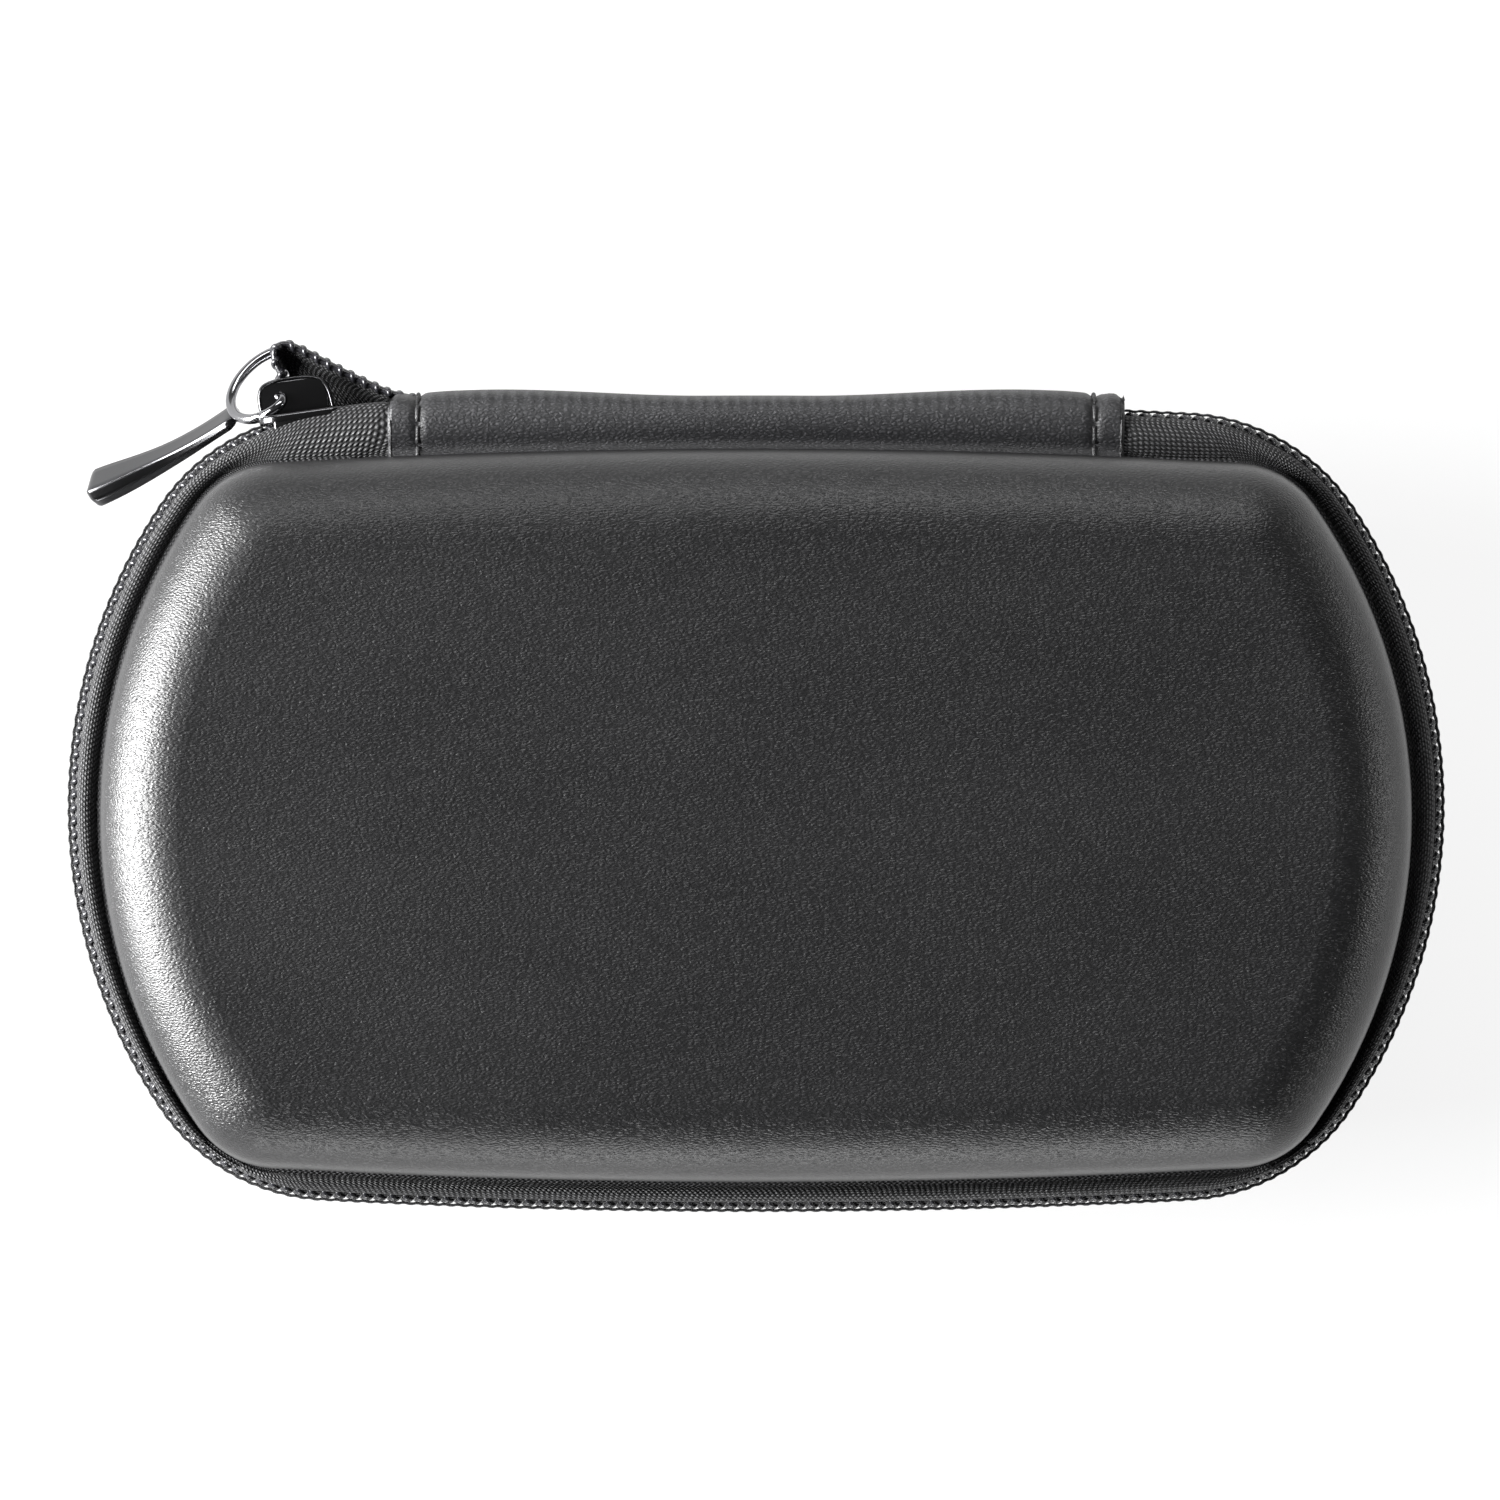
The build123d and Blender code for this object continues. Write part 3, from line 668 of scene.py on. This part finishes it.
# %% Stitches across the strip
for sign, stands_for in ((-1, "hinge_stitches_right"), (1, "hinge_stitches_left")):
    bm = bmesh.new()
    for k in range(9):
        v_mid = 0.5 + (k - 4) * 0.083
        line = []
        for i in range(7):
            f = i / 6
            bow = 0.5 * sin(pi * f) - 0.2
            drift = 0.12 * (f - 0.5)
            line.append(strip_spot(sign * (STITCH_X + drift), v_mid + (f - 0.5) * 0.066, bow))
        lay_tube(bm, line, lambda t: (0.27 * MM, 0.27 * MM), sides=8, up=(1, 0, 0))
    row = piece(bm, stands_for + "_thread", thread, stands_for=[stands_for])
    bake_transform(row)

# %% [markdown]
# ### Backing inside the hinge
# A woven strip closes the gap between the halves from inside. It folds outwards towards the hinge's
# line, because a flat strip would be crushed there when the lid is shut and stand up when it opens.

# %% Backing inside the hinge
BACKING_FOLD = [  # out from the shell, height: over the binding, then out towards the hinge's line
    (-6.3, 8.2), (-6.45, 6.2), (-5.6, 4.7), (-2.2, 3.7), (1.0, 2.6), (2.1, 0.0),
    (1.0, -2.6), (-2.2, -3.7), (-5.6, -4.7), (-6.45, -6.2), (-6.3, -8.2),
]


def backing_spot(u, v):
    """A point of the backing, u along the hinge and v across it."""
    out, height = through(BACKING_FOLD, v)
    _, cy, r, _, _ = SHELL[0]
    x = (2 * u - 1) * 40.0
    return Vector((x, cy + sqrt((r + out) ** 2 - x * x), MID + height)) * MM


bm = bmesh.new()
lay_strip(bm, 80, 40, backing_spot, 0.08, 0.032)
bmesh.ops.solidify(bm, geom=bm.faces, thickness=0.5 * MM)
backing = piece(bm, "hinge_backing_tape", grosgrain, stands_for=["hinge_backing"])
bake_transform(backing)

# %% [markdown]
# ## Loose end behind the slider
# Past the slider the halves are unzipped, and the back half's tape stands out in a loop before it
# goes in under the strip. It is the same tape and coil, led along a free line. Cloth simulation could
# find such a loop, but not this one: a few listed points say exactly where it stands.

# %% Loop of tape and coil
LOOP = [  # x and y of its line, from under the strip round to the shell
    (-38.5, 48.1), (-42.4, 48.9), (-45.3, 50.1), (-48.0, 51.4), (-50.7, 52.8),
    (-53.0, 54.0), (-54.9, 54.7), (-55.9, 54.2), (-55.8, 52.9), (-55.0, 51.2), (-54.0, 49.0),
]
loop_steps = 80
loop_line = [through(LOOP, k / loop_steps) for k in range(loop_steps + 1)]
loop_reach = [0.0]
for a, b in zip(loop_line, loop_line[1:]):
    loop_reach.append(loop_reach[-1] + (b - a).length)


def on_loop(s, out, height):
    """A point beside the loop's line, s millimetres along it."""
    s = min(max(s, 0.0), loop_reach[-1] - 1e-6)
    i = max(k for k in range(loop_steps) if loop_reach[k] <= s)
    f = (s - loop_reach[i]) / (loop_reach[i + 1] - loop_reach[i])
    p = loop_line[i].lerp(loop_line[i + 1], f)
    way = (loop_line[min(i + 2, loop_steps)] - loop_line[max(i - 1, 0)]).normalized()
    drop = 0.9 * ease(s, 1.0, 9.0)
    return Vector((p.x + way.y * out, p.y - way.x * out, MID + height - drop)) * MM


LOOP_WEB = loop_reach[-1] * 0.87  # the part of the line that the tape goes with


def web_spot(u, v):
    """From the loop's coil down and back to where the tape is sewn at the shell's rim."""
    top = on_loop(u * LOOP_WEB, 0.15 - 0.9 * ease(v, 0.0, 0.35), 0.5 - 2.2 * ease(v, 0.0, 0.4))
    foot = on_zip(38.5 + u * 15.0, -2.6, -5.4)
    share = ease(v, 0.12, 1.0) ** 1.3
    point = top.lerp(foot, share)
    point.z -= 0.8 * MM * sin(pi * share)
    return point


bm = bmesh.new()
lay_strip(bm, 120, 24, web_spot, LOOP_WEB * MM, 0.009)
bmesh.ops.solidify(bm, geom=bm.faces, thickness=0.45 * MM)
loose_tape = piece(bm, "loose_tape_loop", twill)


def on_loop_coil(s, out, height):
    """The coil is pressed smaller here, and turned over with the tape."""
    return on_loop(s, -0.6 * out - 0.3, 0.8 * height + 1.1)


bm = bmesh.new()
line = coil_line(0.5, loop_reach[-1] - 1.0, -1, 0.0, on_loop_coil)
lay_tube(bm, line, lambda t: (FILAMENT * MM, FILAMENT * MM), sides=6)
line = [on_loop(0.5 + k * 0.25, 0.25, 0.07) for k in range(int((loop_reach[-1] - 1.5) * 4))]
lay_tube(bm, line, lambda t: (0.4 * MM, 0.85 * MM), sides=8)
loose_coil = piece(bm, "loose_coil_loop", nylon)
for loose_end in (loose_tape, loose_coil):  # their placing goes into their meshes
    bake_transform(loose_end)

# %% [markdown]
# ## Slider
# The slider is one zinc casting: two plates joined by a neck, flanges that hold the chain, and a
# crown whose arch takes the ring and hides the lock. Rounded blocks and one bent bar give it the soft
# edges of a casting that was tumbled before plating.

# %% Slider
SLIDER_MIDDLE = Vector((-52.5548, 45.2837, MID)) * MM
SLIDER_TURN = radians(8)  # the slider's heading at its corner
TRAVEL = Vector((cos(SLIDER_TURN), sin(SLIDER_TURN), 0))
OUTWARDS = Vector((-sin(SLIDER_TURN), cos(SLIDER_TURN), 0))
slider_frame = Matrix((
    (TRAVEL.x, OUTWARDS.x, 0, SLIDER_MIDDLE.x),
    (TRAVEL.y, OUTWARDS.y, 0, SLIDER_MIDDLE.y),
    (0, 0, 1, SLIDER_MIDDLE.z),
    (0, 0, 0, 1),
))


def whole(cut, made):
    """The vertices of a block after a bevel: the new ones and those that it left."""
    return list({v for f in cut["faces"] for v in f.verts} | {v for v in made if v.is_valid})


def block(bm, low, high, soft, corners=0.0):
    """A block with rounded edges between two corners in millimetres, in the slider's frame."""
    low, high = Vector(low), Vector(high)
    size, middle = high - low, (low + high) / 2
    made = bmesh.ops.create_cube(bm, size=1.0)["verts"]
    bmesh.ops.scale(bm, vec=size, verts=made)
    if corners:
        uprights = [
            e for v in made for e in v.link_edges
            if abs(e.verts[0].co.y - e.verts[1].co.y) > 0.5 * size.y
        ]
        cut = bmesh.ops.bevel(
            bm, geom=list(set(uprights)), offset=corners, affect="EDGES", segments=8,
            profile=0.5, material=-1,
        )
        made = whole(cut, made)
    edges = {e for v in made for e in v.link_edges if e.calc_face_angle(0) > 0.6}
    cut = bmesh.ops.bevel(
        bm, geom=list(edges), offset=soft, affect="EDGES", segments=3, profile=0.5, material=-1
    )
    made = whole(cut, made)
    bmesh.ops.translate(bm, vec=middle, verts=made)
    return made


bm = bmesh.new()
block(bm, (-5.2, 0.7, -4.4), (5.2, 1.75, 4.4), 0.3, 2.4)  # outer plate
block(bm, (-5.2, -3.3, -3.4), (5.2, -2.3, 3.4), 0.3, 2.2)  # inner plate
for side in (-1, 1):  # flanges
    block(bm, (-3.5, -0.6, side * 4.0 - 0.35), (4.2, 1.2, side * 4.0 + 0.35), 0.3)
block(bm, (2.0, -2.4, -0.27), (4.5, 1.6, 0.27), 0.12)  # neck

# %% [markdown]
# ### The slider's crown
# The crown is a hood over the lock with one bar bent across it, under which the ring hangs. The hood
# is a block whose outer shoulders are rounded first and all its edges after, as a mould maker would
# do, and the bar is a flat tube along a few points.

# %% Crown of the slider
hood = bmesh.ops.create_cube(bm, size=1.0)["verts"]
bmesh.ops.scale(bm, vec=(8.0, 4.2, 1.9), verts=hood)
shoulders = [
    e for v in hood for e in v.link_edges
    if e.verts[0].co.y > 1 and e.verts[1].co.y > 1 and abs(e.verts[0].co.z - e.verts[1].co.z) > 1
]
cut = bmesh.ops.bevel(
    bm, geom=list(set(shoulders)), offset=1.25, affect="EDGES", segments=8, profile=0.5, material=-1
)
hood = whole(cut, hood)
sides = {e for v in hood for e in v.link_edges if e.calc_face_angle(0) > 0.7}
cut = bmesh.ops.bevel(
    bm, geom=list(sides), offset=0.26, affect="EDGES", segments=4, profile=0.5, material=-1
)
hood = whole(cut, hood)
bmesh.ops.translate(bm, vec=(-0.9, 3.6, 0), verts=hood)
arch = [
    (-4.7, 1.9), (-4.85, 3.0), (-4.75, 4.4), (-4.1, 5.35), (-2.6, 5.75), (-0.6, 5.85),
    (1.2, 5.7), (2.5, 5.2), (3.15, 4.2), (3.4, 3.0), (3.5, 1.9),
]
line = [Vector((*through(arch, k / 60), 0)) for k in range(61)]
lay_tube(bm, line, lambda t: (0.28, 1.12), sides=16)
bmesh.ops.scale(bm, vec=(MM, MM, MM), verts=bm.verts)
bmesh.ops.transform(bm, matrix=slider_frame, verts=bm.verts)
piece(bm, "cast_slider", nickel, "slider", ["slider_body"])
print("slider lies at", [round(v / MM, 2) for v in SLIDER_MIDDLE])

# %% [markdown]
# ## Ring
# The ring is thick wire bent into a wide eye and closed inside the crown. A torus would be quicker,
# but a bent wire is never a true circle, so a tube is led along a closed row of points instead.

# %% Ring
RING = [
    (-56.1, 49.2, 24.8), (-55.2, 48.5, 26.2), (-56.1, 47.3, 26.9), (-58.5, 46.2, 25.7),
    (-60.6, 46.6, 23.4), (-61.4, 48.2, 21.5), (-61.0, 50.1, 20.3), (-59.8, 51.9, 19.4),
    (-58.1, 53.4, 18.8), (-56.1, 54.3, 18.4), (-54.5, 53.9, 18.5), (-54.6, 52.9, 19.2),
    (-55.2, 51.8, 20.6), (-55.8, 50.5, 22.7),
]
BETWEEN = 8  # steps from one point to the next
bm = bmesh.new()
count = len(RING)
line = []
for k in range(count * BETWEEN + 1):
    i, f = divmod(k / BETWEEN, 1)
    near = [RING[(int(i) + j) % count] for j in (-1, 0, 1, 2)]
    line.append(through(near, (1 + f) / 3) * MM)
lay_tube(bm, line, lambda t: (0.61 * MM, 0.61 * MM), sides=14, up=(0.8, 0.3, 0.5), closed=True)
piece(bm, "wire_ring", ring_nickel_painted_light, "ring", ["pull_ring"])

# %% [markdown]
# ## Tab
# The tab is die-cast: a long bar with a waist, a flared tail, flat satin faces and a polished edge of
# two facets. It is a grid rolled round its section from head to tail, so that waist and flare are
# two smooth sums, and a second material lies on the facets, where hands keep the metal bright.

# %% Tab
TAB_HEAD = Vector((-60.7, 46.9, 22.1))
TAB_TAIL = Vector((-77.9, 38.2, 13.4))
TAB_FACE = Vector((-0.57, 0.70, 0.42))  # the way the broad face looks
TAB_SECTION = [  # across the thickness, across the width, as shares of half of each
    (1, -0.93), (1, 0.93), (0.86, 0.98), (0.1, 1.12), (-0.1, 1.12), (-0.86, 0.98),
    (-1, 0.93), (-1, -0.93), (-0.86, -0.98), (0.86, -0.98),
]


def tab_spot(u, v):
    """Along the tab from head to tail, and round its section."""
    axis = (TAB_TAIL - TAB_HEAD).normalized()
    face = (TAB_FACE - axis * TAB_FACE.dot(axis)).normalized()
    edge = face.cross(axis)
    if edge.z < 0:
        edge = -edge
    k = v * len(TAB_SECTION)
    i, f = int(k) % len(TAB_SECTION), k - int(k)
    a, b = Vector(TAB_SECTION[i]), Vector(TAB_SECTION[(i + 1) % len(TAB_SECTION)])
    a, b = a.lerp(b, f)
    half_wide = 1.85 - 0.25 * sin(pi * min(1, u * 1.1)) + 0.6 * ease(u, 0.45, 1.0)
    half_thick = 0.62 + 0.65 * ease(u, 0.1, 1.0)
    end = min(1.0, ((1 - u) / 0.035) ** 0.5) if u > 0.965 else 1.0
    start = min(1.0, (u / 0.05) ** 0.5) if u < 0.05 else 1.0
    round_off = (0.72 + 0.28 * end) * (0.6 + 0.4 * start)
    bow = -0.7 * sin(pi * u)
    spot = TAB_HEAD.lerp(TAB_TAIL, u) + face * (a * half_thick * round_off + bow)
    return (spot + edge * (b * half_wide * round_off)) * MM


bm = bmesh.new()
lay_strip(bm, 60, 50, tab_spot, 0.021, 0.012)
bmesh.ops.remove_doubles(bm, verts=bm.verts, dist=1e-7)
rims = [e for e in bm.edges if e.is_boundary]
bmesh.ops.holes_fill(bm, edges=rims, sides=0)
bmesh.ops.recalc_face_normals(bm, faces=bm.faces)
axis = (TAB_TAIL - TAB_HEAD).normalized()
for face in bm.faces:
    if abs(face.normal.dot(TAB_FACE)) < 0.75 and abs(face.normal.dot(axis)) < 0.8:
        face.material_index = 1
tab = piece(bm, "cast_tab", satin, "tab", ["pull_tab"], outwards=False)
tab.data.materials.append(nickel)

# %% [markdown]
# ## Lining
# The lining is one knitted blank, glued over the foam and drawn round its corners, where it keeps
# small puckers. A grid is led up the wall, round the bend and over the face to a spine along the
# middle, where its last row closes.

# %% Lining
WALL = 4.5  # skin, foam and lining together
BINDING_INSET, BINDING_AT = 5.2, 7.5  # middle of the binding, from the rim and from the zip
BEND = 4.6  # inner radius between wall and face
FACE_AT = 20.6  # the lining's face, from the zip's middle
LEAN = 0.0699  # the wall's slope


def on_shell(t, out, height):
    """A point at share t round the shell, out from its outline in millimetres."""
    return beside(SHELL, station(ROUND * (t % 1.0)), out, height)


def lining_spot(u, v, up):
    """A point of the lining, u round the case and v from the rim to the spine."""
    wall, bend = 0.22, 0.42  # shares of v at the top of the wall and of the bend
    fade = 1 - abs(v - 0.3) / 0.3 if v < 0.6 else 0
    pucker = 0.10 * sin(u * 2 * pi * 46 + 1.7 * sin(u * 2 * pi * 7)) * fade
    corner = max(0.0, sin(u * 4 * pi) ** 2) ** 3
    pucker *= 0.25 + 0.75 * corner
    if v <= wall:
        height = 6.3 + (FACE_AT - BEND - 6.3) * v / wall
        return on_shell(u, -WALL - (height - 6) * LEAN - pucker * 0.3, up * height)
    turn = min(1.0, (v - wall) / (bend - wall)) * pi / 2
    inset = WALL + (FACE_AT - BEND - 6) * LEAN + BEND * (1 - cos(turn))
    ring = on_shell(u, -inset, up * (FACE_AT - BEND + BEND * sin(turn) - pucker))
    if v <= bend:
        return ring
    spine = Vector((max(-38 * MM, min(38 * MM, ring.x * 0.62)), 0, ring.z))
    point = ring.lerp(spine, (v - bend) / (1 - bend))
    point.z += up * 0.12 * MM * (v - bend) * sin(point.x * 95) * sin(point.y * 120)
    return point


for half, up in (("lid", 1), ("back", -1)):
    bm = bmesh.new()
    lay_strip(bm, 288, 40, lambda u, v: lining_spot(u, v, up), ROUND * MM, 0.052)
    bmesh.ops.remove_doubles(bm, verts=bm.verts, dist=2e-6)
    bmesh.ops.recalc_face_normals(bm, faces=bm.faces)
    print("lining area, square metres", round(sum(f.calc_area() for f in bm.faces), 5))
    bmesh.ops.solidify(bm, geom=bm.faces, thickness=0.4 * MM)
    solids = [f"{half}_lining"]
    lining = piece(bm, f"{half}_knit_lining", knit, half_body[half], solids)

# %% [markdown]
# ### Binding over the inner seam
# Skin, tape and lining are sewn together at the rim, and a narrow tape is folded over that seam. At
# this size it is a flattened tube that goes once round each half.

# %% Binding over the inner seam
for half, up in (("lid", 1), ("back", -1)):
    bm = bmesh.new()
    steps = 320
    line = [on_shell(k / steps, -BINDING_INSET, up * BINDING_AT) for k in range(steps + 1)]
    lay_tube(bm, line, lambda t: (0.6 * MM, 1.45 * MM), sides=14, closed=True)
    solids = [f"{half}_seam_binding"]
    piece(bm, f"{half}_bound_seam", grosgrain, half_body[half], solids)

# %% [markdown]
# ### Cord inside each coil
# A coil is wound round a thin cord, which keeps its turns from closing up when it is sewn. It shows
# as a dull line between the turns, so it is laid as a flat tube through them.

# %% Cord inside each coil
for half, up in (("lid", 1), ("back", -1)):
    bm = bmesh.new()
    reach = ROUND - 2 * FREE_FROM
    line = [on_zip(FREE_FROM + reach * k / 420, -0.9, up * 1.4) for k in range(421)]
    lay_tube(bm, line, lambda t: (0.23 * MM, 0.85 * MM), sides=6)
    piece(bm, f"{half}_inner_cord", thread, half_body[half], [f"{half}_coil_cord"])

# %% [markdown]
# ## Mesh pocket
# The pocket is an open knitted mesh, sewn in round the lid and edged with elastic. Its holes are real:
# a grid turned by 45 degrees, trimmed to the pocket's outline, whose lines a wireframe modifier
# turns into yarn.

# %% Mesh pocket
POCKET_Z = 32.35
bm = bmesh.new()
bmesh.ops.create_grid(bm, x_segments=92, y_segments=92, size=92.0)
bmesh.ops.rotate(bm, cent=(0, 0, 0), matrix=Matrix.Rotation(pi / 4, 3, "Z"), verts=bm.verts)
bmesh.ops.scale(bm, vec=(1.15, 0.9, 1), verts=bm.verts)
geom = list(bm.verts) + list(bm.edges) + list(bm.faces)
bmesh.ops.bisect_plane(
    bm, geom=geom, plane_co=(0, 12.6, 0), plane_no=(0, 1, 0), clear_outer=True, dist=1e-5
)
count = 72
for k in range(count):  # the outline's straight facets trim the cloth one by one
    i, t = station(ROUND * (k + 0.5) / count)
    cx, cy, r, start, end = SHELL[i]
    angle = start + (end - start) * t
    spot = Vector((cx + (r - 6.6) * cos(angle), cy + (r - 6.6) * sin(angle), 0))
    geom = list(bm.verts) + list(bm.edges) + list(bm.faces)
    bmesh.ops.bisect_plane(
        bm, geom=geom, plane_co=spot, plane_no=(cos(angle), sin(angle), 0), clear_outer=True, dist=1e-5
    )
bmesh.ops.dissolve_degenerate(bm, dist=0.02, edges=bm.edges)
bmesh.ops.scale(bm, vec=(MM, MM, MM), verts=bm.verts)
bmesh.ops.translate(bm, vec=(0, 0, POCKET_Z * MM), verts=bm.verts)
net = piece(bm, "pocket_net", thread, "lid", ["mesh_pocket"], smooth=False)
yarn = net.modifiers.new("yarn", "WIREFRAME")
yarn.thickness = 0.42 * MM

# %% [markdown]
# ### Elastic edge of the pocket
# The pocket's free edge is a ribbed elastic that rucks a little where it was sewn in under tension.
# A wave along a flat tube gives that ruck, where a straight band would look glued on.

# %% Elastic edge of the pocket
bm = bmesh.new()
line = []
for k in range(541):
    x = -67.9 + 135.8 * k / 540
    ruck = 0.13 * sin(x * 2.9 + 1.1 * sin(x * 0.7))
    line.append(Vector((x, 14.4 - 0.25 * cos(pi * x / 135.8), 32.85 + ruck)) * MM)
lay_tube(bm, line, lambda t: (2.3 * MM, 0.62 * MM), sides=16)
elastic = piece(bm, "pocket_hem", ribbed, "lid", ["pocket_elastic"])

# %% [markdown]
# ## Flat sizes of the cloth
# Every piece of cloth was cut flat before it was sewn in.

# %% [markdown]
# ## Floor
# The case lies on a white floor. Its shader keeps the case's soft shadow, and part of its white is
# a plain glow that only the camera and reflections see, so that it lights nothing.

# %% Floor
bm = bmesh.new()
bmesh.ops.create_grid(bm, x_segments=1, y_segments=1, size=3.0)
floor_mesh = bpy.data.meshes.new("floor")
bm.to_mesh(floor_mesh)
bm.free()
floor = bpy.data.objects.new("floor", floor_mesh)
floor.location.z = -0.0002
bpy.context.collection.objects.link(floor)
white = new_finish("white floor", (0.82, 0.82, 0.82), 0.9, specular=0.0)
tree = white.node_tree
shader = tree.nodes["Principled BSDF"]
glow = tree.nodes.new("ShaderNodeEmission")
glow.inputs["Strength"].default_value = 1.0
path = tree.nodes.new("ShaderNodeLightPath")
seen = maths(white, "MAXIMUM", path.outputs["Is Camera Ray"], path.outputs["Is Glossy Ray"])
seen = maths(white, "MULTIPLY", seen, 0.86)
mixed = tree.nodes.new("ShaderNodeMixShader")
tree.links.new(seen, mixed.inputs[0])
tree.links.new(shader.outputs[0], mixed.inputs[1])
tree.links.new(glow.outputs[0], mixed.inputs[2])
tree.links.new(mixed.outputs[0], tree.nodes["Material Output"].inputs["Surface"])
floor_mesh.materials.append(white)


# %% [markdown]
# ## Light
# Two broad soft boxes at the left, one of them low, light the rim of that side. A weaker one lies
# towards the opening, one stands behind the hinge and a small one at the right, and a grey sky, paler
# near the ground, fills the rest. Area lamps give dark skin the wide soft gleam of a studio.


# %% Lights
def soft_box(name, place, size, power):
    """A rectangular lamp that looks at the case."""
    data = bpy.data.lights.new(name, "AREA")
    data.shape = "RECTANGLE"
    data.size, data.size_y = size
    data.energy = power
    lamp = bpy.data.objects.new(name, data)
    lamp.location = place
    lamp.rotation_euler = (AIM - Vector(place)).to_track_quat("-Z", "Y").to_euler()
    bpy.context.collection.objects.link(lamp)


AIM = Vector((0, 0, 0.03))
soft_box("left box", (-0.85, 0.03, 0.26), (0.58, 0.9), 72.0)
soft_box("low left box", (-0.9, 0.0, 0.075), (0.14, 0.9), 22.0)
soft_box("front box", (0.0, -0.95, 0.09), (1.0, 0.18), 7.5)
soft_box("right box", (0.95, 0.0, 0.16), (0.16, 0.6), 3.0)
soft_box("top box", (0.0, 0.8, 0.62), (0.8, 0.16), 5.0)
print("lamps", len(bpy.data.lights))

# %% Sky
world = bpy.data.worlds.new("studio")
world.use_nodes = True
bpy.context.scene.world = world
sky = world.node_tree.nodes["Background"]
sky.inputs["Strength"].default_value = 1.0
wtree = world.node_tree
way = wtree.nodes.new("ShaderNodeTexCoord")
split = wtree.nodes.new("ShaderNodeSeparateXYZ")
ramp = wtree.nodes.new("ShaderNodeValToRGB")
wtree.links.new(way.outputs["Generated"], split.inputs[0])
wtree.links.new(split.outputs[2], ramp.inputs[0])
wtree.links.new(ramp.outputs[0], sky.inputs["Color"])
stops = [(0.0, 0.3), (0.22, 0.2), (0.45, 0.06), (0.75, 0.04), (0.95, 0.085), (1.0, 0.09)]
while len(ramp.color_ramp.elements) < len(stops):
    ramp.color_ramp.elements.new(0.5)
for element, (height, level) in zip(ramp.color_ramp.elements, stops):
    element.position = height
    element.color = (level, level, level, 1)
print("sky levels", [level for _, level in stops])

# %% [markdown]
# ## Camera
# The camera looks straight down from far away through a long lens, so that the case's sides hardly
# show. Its height follows from the lens and from the width that the view has at the zip's middle.

# %% Camera
lens = 300.0
sensor = 36.0
span = 1500 / 8.575 * MM  # width of the view at the zip's middle
camera_data = bpy.data.cameras.new("camera")
camera_data.lens = lens
camera_data.sensor_width = sensor
camera_data.clip_end = 10.0
camera = bpy.data.objects.new("camera", camera_data)
camera.location = (-0.7 * MM, 7.6 * MM, MID * MM + span * lens / sensor)
bpy.context.collection.objects.link(camera)
scene = bpy.context.scene
scene.camera = camera
scene.view_settings.view_transform = "Standard"
print("camera at", tuple(round(v, 4) for v in camera.location))
